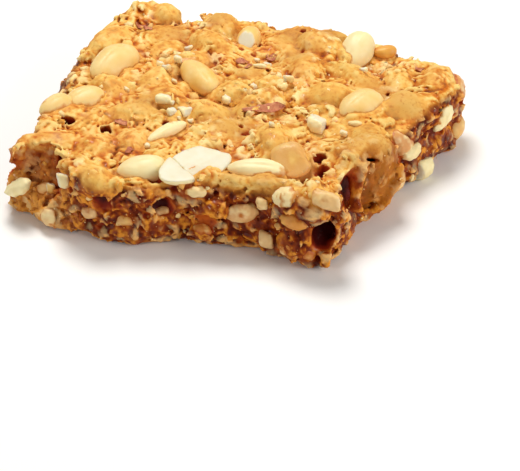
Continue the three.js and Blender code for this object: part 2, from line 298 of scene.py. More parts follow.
# The kernels that show best, in the same order as in the CAD source
SHOWN_KERNELS = (
    Kernel(-38, 8.5, 17.5, 11, 9, 77, -0.9, toast=0.6, moved=(-0.6, -0.2, 0.5)),  # big pale
    Kernel(-13, 8.5, 18.6, 8.2, 7.5, -42, -1.1, toast=0.75, moved=(-1.0, 1.0, 0.8)),  # long middle
    Kernel(-39, -10.5, 13, 8.6, 7, 57, -1.3, toast=0.55, moved=(0, 0, 0.6)),  # left pair, inner
    Kernel(-43.5, -18, 10.5, 6.8, 6, 64, -1.5, coat=Coat.SMEARED, toast=0.55, moved=(-0.3, 1, 0.8)),  # outer
    Kernel(-45, 20, 13, 9, 7.5, 74, -2, coat=Coat.VEILED),  # veiled back left
    Kernel(
        -8.5, 33, 11, 6.6, 7.6, -84, -1.2, tilt=4, trims=((0, 40, 3.9),), toast=0.7, moved=(0, 1.0, 1.4)
    ),  # back, cut
    Kernel(22.5, 35.5, 13.4, 9.4, 8.6, 82, -0.2, tilt=24, toast=0.1, moved=(-0.4, 0.6, 0)),  # back standing
    Kernel(
        30, 39.5, 7, 4.2, 3.8, 30, 0.2, coat=Coat.SMEARED, toast=1.0, moved=(-0.6, -0.4, 0.2), glaze=0.4
    ),  # back, coated with toffee
    Kernel(31.5, 10.5, 13.5, 10, 8, 60, -0.8, toast=0.6, moved=(0, -0.4, 1.1)),  # right oval
    Kernel(22, 13, 12, 9.5, 8, 20, -1.4, coat=Coat.VEILED),  # veiled middle right
    Kernel(41, 14.5, 12.5, 9, 8, 58, -2, coat=Coat.VEILED),  # veiled right
    Kernel(
        22.5, -20.5, 13.5, 10, 8, -50, -0.2, toast=0.7, glaze=0.4, moved=(0, 0, 0.3),
        trims=((-25, 52, 3.2), (80, 35, 3.6), (190, 40, 4.2)),
    ),  # front amber
    Kernel(15.5, -27, 15.5, 6, 4.8, 12, -0.6, roll=20, toast=0.0, moved=(0.6, 0, 1.1)),  # white slim
    Kernel(
        1.5, -28, 21, 12.6, 5, 61, -1, roll=5, cut=Cut.SPLIT, toast=0.0, trims=SPLIT_HALF,
        moved=(-0.9, -2.4, 0.9),
    ),  # white split
    Kernel(
        -1.5, -36, 21, 12.6, 5, 61, -0.6, roll=5, cut=Cut.SPLIT, toast=0.0, trims=SPLIT_CORNER,
        moved=(2.1, 5.5, 0.3),
    ),  # its white corner
    Kernel(-11.5, -34.8, 13, 8.5, 7, 30, -0.9, toast=0.15),  # front oval
    Kernel(-21.5, -42, 10, 7.5, 7, -25, -1.8, coat=Coat.VEILED, trims=((40, 30, 3.2),)),  # veiled front edge
    Kernel(23.2, -2, 9, 7, 5.6, -6, -0.6, cut=Cut.CHUNK, toast=0.1, moved=(0.2, 0.8, 1.0)),  # cut chunk
    Kernel(-12, -18, 13, 4, 3.6, 62, -0.9, toast=0.05, moved=(0, 0.3, 0.5)),  # slanted slim
    Kernel(1.2, 22, 5, 4.5, 4.5, 0, 0, cut=Cut.CHUNK, toast=0.1),  # small round
    Kernel(-36, 39, 9, 7, 7, -30, -0.8, coat=Coat.VEILED),  # back left small
    Kernel(
        35.5, -33.5, 14.6, 6.4, 5.4, 6, -0.7, coat=Coat.SMEARED, cut=Cut.CHUNK, toast=0.3, glaze=0.4,
        trims=((75, 50, 1.8), (-70, 35, 2.3)), moved=(1.0, 0.4, 0),
    ),  # corner
    Kernel(
        26.3, -34.5, 7.6, 6, 5.6, 0, z=17, coat=Coat.SMEARED, toast=0.1, moved=(0, 0.6, 0.6), glaze=0.12
    ),  # front round
    Kernel(
        -35, -42, 5, 4, 5, 20, z=12.8, coat=Coat.VEILED, cut=Cut.CHUNK, toast=0.8, moved=(-0.8, 4.1, -4.3)
    ),  # cream bit in the left break
    Kernel(-44.6, -39, 9.4, 4.6, 3.6, -5, z=5.5, tilt=34, roll=30, toast=0.0, moved=(1, -2.4, 3.4)),  # tip
    Kernel(
        -36, -42.5, 6.6, 5.6, 6, 10, z=3.4, cut=Cut.SNAPPED, toast=0.2, moved=(2.4, -0.3, 0), glaze=0.35
    ),  # grey, low on the left
    Kernel(48.2, 13, 10, 7.4, 8, 76, z=3.6, cut=Cut.CHUNK, toast=0.0, moved=(-0.3, -2, -0.2)),  # white
    Kernel(50.3, 20, 8.6, 4, 6, 70, z=13.5, tilt=35, toast=0.1, moved=(0.7, 0.6, 0)),  # right pale
    Kernel(21.5, -34.6, 7.5, 5.5, 6, 8, z=5.2, cut=Cut.CHUNK, toast=0.2, glaze=0.4),  # front low
    Kernel(14.5, -35, 10, 5.5, 5.5, 2, z=11.5, tilt=14, coat=Coat.SMEARED, toast=0.2, glaze=0.6),  # middle
)


def smoothstep(low: float, high: float, value: np.ndarray) -> np.ndarray:
    """A soft step from 0 at low to 1 at high.

    Args:
        low: where the step starts.
        high: where it ends.
        value: the numbers to step.

    Returns:
        The stepped numbers, from 0 to 1.
    """
    share = np.clip((value - low) / (high - low), 0, 1)
    return share * share * (3 - 2 * share)


def join(a: np.ndarray, b: np.ndarray, blend: float) -> np.ndarray:
    """Joins two solid distances, with a fillet as wide as blend.

    Args:
        a: the first distance.
        b: the second distance.
        blend: width of the fillet in millimetres.

    Returns:
        The distance of the joined solid.
    """
    near = np.maximum(blend - np.abs(a - b), 0) / blend
    return np.minimum(a, b) - near * near * blend / 4


def carve(a: np.ndarray, b: np.ndarray, blend: float) -> np.ndarray:
    """Keeps what is in both solids, with the edge rounded over blend.

    Args:
        a: the first distance.
        b: the second distance.
        blend: width of the rounding in millimetres.

    Returns:
        The distance of what both solids share.
    """
    return -join(-a, -b, blend)


def turned(yaw: float, tilt: float, roll: float) -> np.ndarray:
    """The turn of a kernel: rolled about X, tilted up, then swung about Z.

    Args:
        yaw: swing in degrees.
        tilt: rise of the far end in degrees.
        roll: roll in degrees.

    Returns:
        A 3 by 3 matrix whose columns are the kernel's own axes.
    """
    a, b, c = (math.radians(v) for v in (yaw, -tilt, roll))
    about_z = np.array([[math.cos(a), -math.sin(a), 0], [math.sin(a), math.cos(a), 0], [0, 0, 1]])
    about_y = np.array([[math.cos(b), 0, math.sin(b)], [0, 1, 0], [-math.sin(b), 0, math.cos(b)]])
    about_x = np.array([[1, 0, 0], [0, math.cos(c), -math.sin(c)], [0, math.sin(c), math.cos(c)]])
    return about_z @ about_y @ about_x


def direction(bearing: float, rise: float) -> np.ndarray:
    """The direction at a bearing and a rise, both in degrees."""
    a, b = math.radians(bearing), math.radians(rise)
    return np.array([math.cos(a) * math.cos(b), math.sin(a) * math.cos(b), math.sin(b)])


def top_height(x: np.ndarray, y: np.ndarray) -> np.ndarray:
    """Height of the slab's top, as the CAD solid has it.

    Args:
        x: places along the slab.
        y: places across it.

    Returns:
        Heights over the tray.
    """
    z = SLAB_HEIGHT + np.zeros(np.broadcast(x, y).shape)
    for height, length_x, length_y, phase in TOP_WAVES:
        z = z + height * np.sin(2 * math.pi * (x / length_x + y / length_y) + phase)
    for swell in SWELLS:
        z = z + swell.rise * np.exp(-((x - swell.x) ** 2 + (y - swell.y) ** 2) / swell.reach**2)
    return z


class Stream:
    """The same linear congruential stream of numbers from 0 to 1 as the CAD source draws."""

    def __init__(self, seed: int) -> None:
        """Starts the stream at its seed."""
        self.state = seed

    def __call__(self) -> float:
        """The next number."""
        self.state = (self.state * 1664525 + 1013904223) & 0xFFFFFFFF
        return self.state / 4294967296

    def between(self, low: float, high: float) -> float:
        """The next number, spread from low to high."""
        return low + (high - low) * self()


class Edge:
    """The slab's outline as a closed spline, with even steps round it."""

    DIVISIONS = 200

    def __init__(self) -> None:
        """Measures the spline."""
        self.knots = np.array(OUTLINE, dtype=float)
        marks = np.array([self.point(i / self.DIVISIONS) for i in range(self.DIVISIONS + 1)])
        self.lengths = np.concatenate([[0], np.cumsum(np.hypot(*np.diff(marks, axis=0).T))])
        self.round = self.lengths[-1]
        self.rim = self.steps(STEPS_ROUND)

    def point(self, t: float) -> np.ndarray:
        """The place at spline parameter t, from 0 to 1."""
        count = len(self.knots)
        whole = math.floor(count * t)
        w = count * t - whole
        p0, p1, p2, p3 = (self.knots[(whole + k) % count] for k in (-1, 0, 1, 2))
        t0, t1 = 0.5 * (p2 - p0), 0.5 * (p3 - p1)
        return p1 + t0 * w + (3 * (p2 - p1) - 2 * t0 - t1) * w**2 + (2 * (p1 - p2) + t0 + t1) * w**3

    def steps(self, count: int) -> tuple[np.ndarray, np.ndarray, np.ndarray]:
        """Even steps round the outline.

        Args:
            count: how many steps.

        Returns:
            Places, outward directions and distances walked.
        """
        walked = np.arange(count) / count * self.round
        t = np.interp(walked, self.lengths, np.arange(self.DIVISIONS + 1) / self.DIVISIONS)
        places = np.array([self.point(v) for v in t])
        ahead = np.array([self.point(min(v + 1e-4, 1)) - self.point(max(v - 1e-4, 0)) for v in t])
        ahead /= np.hypot(*ahead.T)[:, None]
        return places, np.stack([ahead[:, 1], -ahead[:, 0]], axis=1), walked

    def depth(self, x: float, y: float) -> float:
        """Depth of a point inside the outline, negative outside."""
        places, out, _ = self.rim
        away = np.hypot(x - places[:, 0], y - places[:, 1])
        near = int(np.argmin(away))
        inside = (x - places[near, 0]) * out[near, 0] + (y - places[near, 1]) * out[near, 1] < 0
        return float(away[near] if inside else -away[near])


class KernelSpread:
    """The rule that spreads the kernels that aren't listed one by one, the same as in the CAD source."""

    LENGTH, WIDTH, HEIGHT = 14, 8.6, 7.6
    SIZE_SPREAD = 0.14  # share by which the sizes vary
    TRIES = 900
    APART, INSET = 9.4, 5  # of those on the top: from each other, and in from the outline
    SIDE_APART, SIDE_INSET, SUNK = 11.2, 2.4, 1.3  # along a row, in from the side, and the least depth inside
    SIDE_ROWS = (5.4, 13.2)  # heights of the rows
    JITTER = 1.5
    CLEAR = 6.6  # of the kernels and hollows listed one by one

    def __init__(self, edge: Edge) -> None:
        """Remembers the outline and starts the stream."""
        self.edge = edge
        self.stream = Stream(SEED)

    def size(self) -> tuple[float, float, float]:
        """Length, width and height of the next kernel."""
        scale = self.stream.between(1 - self.SIZE_SPREAD, 1 + self.SIZE_SPREAD)
        slender = self.stream.between(1 - self.SIZE_SPREAD, 1 + self.SIZE_SPREAD)
        return self.LENGTH * scale, self.WIDTH * slender, self.HEIGHT * slender

    def on_top(self) -> list[Kernel]:
        """Kernels sunk in the top, thrown at random and kept where they are clear of the others.

        Returns:
            The kernels.
        """
        kept: list[Kernel] = []
        for _ in range(self.TRIES):
            x = self.stream.between(-50, 56)
            y = self.stream.between(-46, 47)
            if self.edge.depth(x, y) < self.INSET:
                continue
            if any(math.hypot(k.x - x, k.y - y) < self.APART for k in (*SHOWN_KERNELS, *kept)):
                continue
            length, width, height = self.size()
            yaw = self.stream.between(0, 180)
            tilt = self.stream.between(-12, 12)
            lift = self.stream.between(-3, -0.9)
            split = self.stream() < 0.4
            coat = Coat.VEILED if lift > -1.5 else Coat.BURIED
            roll = 35 if split else 0
            kept.append(Kernel(x, y, length, width, height, yaw, lift, tilt=tilt, coat=coat, roll=roll))
        return kept

    def on_sides(self) -> list[Kernel]:
        """Kernels laid bare along the broken sides, in rows that step round the outline.

        Returns:
            The kernels.
        """
        places, out, walked = self.edge.steps(round(self.edge.round / self.SIDE_APART))
        kept: list[Kernel] = []
        for row_index, row in enumerate(self.SIDE_ROWS):
            slide = row_index / len(self.SIDE_ROWS) * self.SIDE_APART
            for place, outward, gone in zip(places, out, walked):
                along = np.array([-outward[1], outward[0]])
                at = place + along * (slide + self.stream.between(-self.JITTER, self.JITTER))
                at = at + outward * (float(side_waviness(gone, row / SLAB_HEIGHT)) - self.SIDE_INSET)
                z = row + self.stream.between(-self.JITTER, self.JITTER)
                length, width, height = self.size()
                heading = math.degrees(math.atan2(along[1], along[0]))
                yaw = heading + self.stream.between(-15, 15)
                tilt = self.stream.between(-45, 45)
                taken = any(
                    math.dist((k.x, k.y, SLAB_HEIGHT if k.z is None else k.z), (*at, z)) < self.CLEAR
                    for k in SHOWN_KERNELS
                )
                cut_off = any(math.dist((h.x, h.y, h.z), (*at, z)) < self.CLEAR for h in HOLLOWS)
                if self.edge.depth(*at) > self.SUNK and not taken and not cut_off:
                    whole = Kernel(*at, length, width, height, yaw, z=z, tilt=tilt)
                    kept.append(self.laid_bare(whole, len(kept)))
        return kept

    @staticmethod
    def laid_bare(kernel: Kernel, number: int) -> Kernel:
        """Breaks, coats and roasts a kernel of the sides by its number.

        Args:
            kernel: the kernel as the CAD source has it.
            number: its place in the row.

        Returns:
            The kernel with its looks.
        """
        random = np.random.default_rng(SEED + 500 + number)
        coat = (Coat.BARE, Coat.SMEARED, Coat.VEILED)[int(random.choice(3, p=(0.2, 0.4, 0.4)))]
        cut = (Cut.WHOLE, Cut.SNAPPED, Cut.CHUNK)[int(random.choice(3, p=(0.4, 0.3, 0.3)))]
        return replace(
            kernel,
            length=kernel.length * random.uniform(0.7, 0.98),
            width=kernel.width * random.uniform(0.75, 0.98),
            height=kernel.height * random.uniform(0.75, 0.98),
            roll=random.uniform(0, 180),
            coat=coat,
            cut=cut,
            toast=random.uniform(0.1, 0.7),
            glaze=random.uniform(0.25, 0.95),
        )


def side_waviness(walked: np.ndarray, level: np.ndarray) -> np.ndarray:
    """How far the broken side stands out, from the way gone round the outline and the share of the height."""
    turn = 2 * math.pi * walked / SIDE_WAVE_LENGTH
    return SIDE_WAVE_DEPTH * np.sin(turn + SIDE_WAVE_TURN * np.sin(3 * level + turn / 5))


class Noise:
    """Smooth gradient noise in three dimensions, about -1 to 1, from its own seeded table."""

    def __init__(self, seed: int) -> None:
        """Fills the table of directions."""
        random = np.random.default_rng(seed)
        self.order = random.permutation(256).astype(np.int32)
        ways = random.normal(size=(256, 3))
        self.ways = (ways / np.linalg.norm(ways, axis=1)[:, None]).astype(np.float32)

    def __call__(self, points: np.ndarray, size: float) -> np.ndarray:
        """The noise at some places.

        Args:
            points: places, one row each, in millimetres.
            size: spacing of the noise in millimetres.

        Returns:
            One number for each place.
        """
        scaled = (points / size).astype(np.float32)
        corner = np.floor(scaled)
        inside = scaled - corner
        cell = corner.astype(np.int32) & 255
        ease = inside * inside * inside * (inside * (inside * 6 - 15) + 10)
        total = np.zeros(len(points), dtype=np.float32)
        for dx in (0, 1):
            for dy in (0, 1):
                first = self.order[(self.order[(cell[:, 0] + dx) & 255] + cell[:, 1] + dy) & 255]
                for dz in (0, 1):
                    way = self.ways[self.order[(first + cell[:, 2] + dz) & 255]]
                    offset = inside - np.array([dx, dy, dz], dtype=np.float32)
                    share = np.einsum("ij,ij->i", way, offset)
                    for axis, far in enumerate((dx, dy, dz)):
                        share *= ease[:, axis] if far else 1 - ease[:, axis]
                    total += share
        return total * 1.6

    def lumps(self, points: np.ndarray, size: float) -> tuple[np.ndarray, np.ndarray]:
        """A heap of round lumps, one in each cell of a jittered grid.

        Args:
            points: places, one row each, in millimetres.
            size: spacing of the lumps in millimetres.

        Returns:
            How high in its lump each place is, from 0 to 1, and the lump's own tone, from 0 to 1.
        """
        scaled = (points / size).astype(np.float32)
        corner = np.floor(scaled).astype(np.int32)
        nearest = np.full(len(points), 9.0, dtype=np.float32)
        tone = np.zeros(len(points), dtype=np.float32)
        for step in np.ndindex(3, 3, 3):
            cell = corner + np.array(step, dtype=np.int32) - 1
            wrapped = cell & 255
            pick = self.order[(self.order[wrapped[:, 0]] + wrapped[:, 1]) & 255]
            pick = self.order[(pick + wrapped[:, 2]) & 255]
            gap = scaled - cell - 0.5 - 0.4 * self.ways[pick]
            away = np.einsum("ij,ij->i", gap, gap)
            closer = away < nearest
            nearest = np.where(closer, away, nearest)
            tone = np.where(closer, pick / 255, tone)
        return np.sqrt(np.clip(1 - nearest / 0.42, 0, 1)), tone


class Volume:
    """A block of space cut into small cubes, which holds solid distances."""

    def __init__(
        self, low: tuple[float, float, float], high: tuple[float, float, float], step: float
    ) -> None:
        """Lays out the cubes.

        Args:
            low: lowest corner.
            high: highest corner.
            step: side of a cube.
        """
        self.low = np.array(low, dtype=float)
        self.step = step
        self.axes = [np.arange(a, b, step, dtype=np.float32) for a, b in zip(low, high)]
        self.shape = tuple(len(axis) for axis in self.axes)

    def window(self, centre: tuple[float, float, float], reach: float) -> tuple[slice, slice, slice]:
        """The cubes within reach of a place."""
        cuts = []
        for axis, middle in zip(self.axes, centre):
            cuts.append(slice(*np.searchsorted(axis, (middle - reach, middle + reach))))
        return tuple(cuts)

    def around(self, blob: Blob, margin: float) -> tuple[slice, slice, slice]:
        """The cubes within a margin of an egg."""
        return self.window((blob.x, blob.y, blob.z), max(blob.sizes) / 2 + margin)

    def rows(self, window: tuple[slice, slice, slice]) -> tuple[np.ndarray, tuple[int, ...]]:
        """Coordinates of a window's cubes, one row each, and the window's shape."""
        spread = np.broadcast_arrays(*self.places(window))
        return np.stack([part.ravel() for part in spread], axis=1), spread[0].shape

    def places(self, window: tuple[slice, slice, slice] | None = None) -> tuple[np.ndarray, ...]:
        """Coordinates of the cubes, shaped so that they spread over each other."""
        x, y, z = (axis[cut] for axis, cut in zip(self.axes, window or (slice(None),) * 3))
        return x[:, None, None], y[None, :, None], z[None, None, :]

    def sample(self, values: np.ndarray, points: np.ndarray) -> np.ndarray:
        """Reads values between the cubes.

        Args:
            values: one number for each cube.
            points: places to read at.

        Returns:
            One number for each place.
        """
        at = (points - self.low) / self.step
        at = np.clip(at, 0, np.array(self.shape) - 1.001)
        corner = at.astype(int)
        share = at - corner
        total = np.zeros(len(points))
        for dx in (0, 1):
            for dy in (0, 1):
                for dz in (0, 1):
                    weight = np.prod(np.where((dx, dy, dz), share, 1 - share), axis=1)
                    total += weight * values[corner[:, 0] + dx, corner[:, 1] + dy, corner[:, 2] + dz]
        return total

    def blurred(self, values: np.ndarray, reach: float) -> np.ndarray:
        """Values averaged over about reach, by two passes of a running mean along each axis."""
        width = max(int(round(reach / self.step)), 1) | 1
        result = values.astype(np.float32)
        for axis in range(3):
            for _ in range(2):
                padding = [(0, 0)] * 3
                padding[axis] = (width // 2 + 1, width // 2)
                sums = np.cumsum(np.pad(result, padding, mode="edge"), axis=axis, dtype=np.float64)
                high = np.take(sums, range(width, sums.shape[axis]), axis=axis)
                low = np.take(sums, range(0, sums.shape[axis] - width), axis=axis)
                result = ((high - low) / width).astype(np.float32)
        return result

    def surface(self, distance: np.ndarray, flatten: float) -> tuple[np.ndarray, list[np.ndarray]]:
        """The solid's surface.

        Args:
            distance: solid distance of each cube.
            flatten: how far nearly flat patches may merge into larger faces, from 0 to 1.

        Returns:
            Places of the corners, and the faces as arrays of corner numbers.
        """
        reach = 3 * self.step
        grid = openvdb.FloatGrid(background=reach)
        grid.copyFromArray(np.clip(distance, -reach, reach).astype(np.float32), tolerance=0.0)
        points, triangles, quads = grid.convertToPolygons(isovalue=0.0, adaptivity=flatten)
        places = self.low + points.astype(float) * self.step
        faces = [f[:, ::-1].astype(np.int32) for f in (triangles, quads) if len(f)]
        if enclosed(places, faces) < 0:
            faces = [f[:, ::-1] for f in faces]
        return places, faces


def enclosed(places: np.ndarray, faces: list[np.ndarray]) -> float:
    """Volume inside the faces, positive where they point outwards."""
    total = 0.0
    for group in faces:
        for k in range(1, group.shape[1] - 1):
            a, b, c = places[group[:, 0]], places[group[:, k]], places[group[:, k + 1]]
            total += float(np.einsum("ij,ij->i", a, np.cross(b, c)).sum()) / 6
    return total


def to_frame(places: np.ndarray) -> np.ndarray:
    """Slab millimetres turned into the frame's metres."""
    return (places - np.array([*BOX_CENTRE, 0.0])) * METRES


def make_object(
    name: str, places: np.ndarray, faces: list[np.ndarray], material: bpy.types.Material
) -> bpy.types.Object:
    """A smooth mesh object with its place in its mesh.

    Args:
        name: the piece's name.
        places: corners in slab millimetres.
        faces: arrays of corner numbers.
        material: its finish.

    Returns:
        The object, in the scene.
    """
    mesh = bpy.data.meshes.new(name)
    counts = np.concatenate([np.full(len(f), f.shape[1], dtype=np.int32) for f in faces])
    mesh.vertices.add(len(places))
    mesh.vertices.foreach_set("co", to_frame(places).astype(np.float32).ravel())
    mesh.loops.add(int(counts.sum()))
    mesh.loops.foreach_set("vertex_index", np.concatenate([f.ravel() for f in faces]).astype(np.int32))
    mesh.polygons.add(len(counts))
    starts = np.concatenate([[0], np.cumsum(counts)[:-1]]).astype(np.int32)
    mesh.polygons.foreach_set("loop_start", starts)
    mesh.polygons.foreach_set("use_smooth", np.ones(len(counts), dtype=bool))
    mesh.update(calc_edges=True)
    mesh.validate()
    mesh.materials.append(material)
    piece = bpy.data.objects.new(name, mesh)
    bpy.context.scene.collection.objects.link(piece)
    return piece


def paint(piece: bpy.types.Object, name: str, values: np.ndarray) -> None:
    """Stores one number for each corner of a piece, for its material to read."""
    layer = piece.data.attributes.new(name, "FLOAT", "POINT")
    layer.data.foreach_set("value", np.asarray(values, dtype=np.float32))


def place_piece(piece: bpy.types.Object, replaces: bool = False) -> None:
    """Hangs a piece on the body that it rides on, hides the CAD part when it replaces it, and logs its
    triangles.
    """
    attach(piece, BODY)
    if replaces:
        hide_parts(NODE)
    triangles = sum(len(face.vertices) - 2 for face in piece.data.polygons)
    LOG.info("%s: %d triangles", piece.name, triangles)


class KernelForm:
    """The solid distance of a kernel: a blunt egg with a seam, lumps and flat breaks."""

    BLUNT = 0.14
    SEAM_DEPTH, SEAM_WIDTH = 0.3, 0.4
    ROUGH, TORN = 0.04, 0.14  # of a clean break, and of a kernel laid bare in a torn side
    FACE_RISE = 0.3  # a split kernel's flat face lies this share of its height over the middle
    SPLIT_DEEP = 1.8  # and the egg that it is cut from is this many times as high

    def __init__(self, kernel: Kernel, number: int) -> None:
        """Works out where the kernel lies.

        Args:
            kernel: its sizes and place.
            number: its place in the list, which sets its own lumps.
        """
        self.kernel = kernel
        self.turn = turned(kernel.yaw, kernel.tilt, kernel.roll)
        z = kernel.z
        if z is None:
            z = float(top_height(kernel.x, kernel.y)) + kernel.lift
        self.middle = np.array([kernel.x, kernel.y, z]) + np.array(kernel.moved)
        self.reach = kernel.length / 2 + 2.4
        random = np.random.default_rng(SEED + number)
        self.phases = random.uniform(0, 2 * math.pi, 6)
        self.bend = random.uniform(-0.5, 0.5)
        self.split = kernel.cut is Cut.SPLIT
        self.pitted = 0.26 if kernel.z is not None else 0.2 if kernel.cut is Cut.CHUNK else 0.0

    def breaks(self) -> list[tuple[np.ndarray, float]]:
        """The flat breaks, each as its outward direction and its distance from the middle."""
        half = np.array([self.kernel.length, self.kernel.width, self.kernel.height]) / 2
        result = []
        for bearing, rise, share in self.kernel.cut.value:
            way = direction(bearing, rise)
            result.append((way, share * float(np.linalg.norm(way * half))))
        return result + [(direction(bearing, rise), far) for bearing, rise, far in self.kernel.trims]

    def distance(self, x: np.ndarray, y: np.ndarray, z: np.ndarray) -> tuple[np.ndarray, np.ndarray]:
        """Solid distance at some places.

        Args:
            x: places along the slab.
            y: places across it.
            z: heights.

        Returns:
            The distance to the kernel, and the distance over its nearest flat break.
        """
        kernel = self.kernel
        dx, dy, dz = x - self.middle[0], y - self.middle[1], z - self.middle[2]
        u, v, w = (dx * self.turn[0, i] + dy * self.turn[1, i] + dz * self.turn[2, i] for i in range(3))
        along = u / (kernel.length / 2)
        w = w - self.bend * along**2
        girth = 1 + self.BLUNT * np.clip(along, -1.2, 1.2)
        half_v, half_w = kernel.width / 2 * girth, kernel.height / 2 * girth
        if self.split:
            w = w - self.FACE_RISE * kernel.height
            half_w = half_w * self.SPLIT_DEEP
        k0 = np.sqrt(along**2 + (v / half_v) ** 2 + (w / half_w) ** 2) + 1e-4
        k1 = np.sqrt((2 * along / kernel.length) ** 2 + (v / half_v**2) ** 2 + (w / half_w**2) ** 2) + 1e-4
        body = k0 * (k0 - 1) / k1
        p = self.phases
        body = body + self.SEAM_DEPTH * np.exp(-((v / self.SEAM_WIDTH) ** 2)) * np.clip(1.2 - along**2, 0, 1)
        body = body + 0.08 * np.sin(u * 0.7 + p[0]) * np.sin(v * 0.8 + p[1])
        body = body + 0.04 * np.sin(1.1 * w + 0.6 * u + p[2])
        body = body + self.pitted * np.sin(2.1 * u + p[3]) * np.sin(2.5 * v + p[4]) * np.sin(1.9 * w + p[5])
        over = np.full(np.broadcast(u, v, w).shape, -9.0)
        for way, far in self.breaks():
            uneven = self.TORN if self.pitted and not self.split else self.ROUGH
            grooves = np.sin(2.3 * u + p[3]) * np.sin(2.9 * v + p[4]) + 0.5 * np.sin(3.1 * w + 2.3 * u)
            rough = uneven * grooves
            plane = way[0] * u + way[1] * v + way[2] * w - far + rough
            if self.split and way[2] > 0.9:
                plane = plane - rough + 0.45 * np.exp(-((v / 1.1) ** 2)) * np.clip(1 - along**2, 0, 1)
            body = carve(body, plane, 0.4)
            over = np.maximum(over, plane)
        return body, over


def rotated_egg(blob: Blob, x: np.ndarray, y: np.ndarray, z: np.ndarray) -> np.ndarray:
    """Solid distance of an egg at some places.

    Args:
        blob: the egg.
        x: places along the slab.
        y: places across it.
        z: heights.

    Returns:
        The distances.
    """
    turn = turned(blob.yaw, blob.tilt, 0)
    dx, dy, dz = x - blob.x, y - blob.y, z - blob.z
    parts = [dx * turn[0, i] + dy * turn[1, i] + dz * turn[2, i] for i in range(3)]
    half = [size / 2 for size in blob.sizes]
    k0 = np.sqrt(sum((part / h) ** 2 for part, h in zip(parts, half))) + 1e-4
    k1 = np.sqrt(sum((part / h**2) ** 2 for part, h in zip(parts, half))) + 1e-4
    return k0 * (k0 - 1) / k1


def in_a_tear(kernel: Kernel) -> bool:
    """Whether a kernel of the spread would fill one of the torn places."""
    middle = [np.array([v]) for v in KernelForm(kernel, 0).middle]
    return any(float(rotated_egg(tear, *middle)[0]) < CLEAR_OF_TEARS for tear in TEARS)


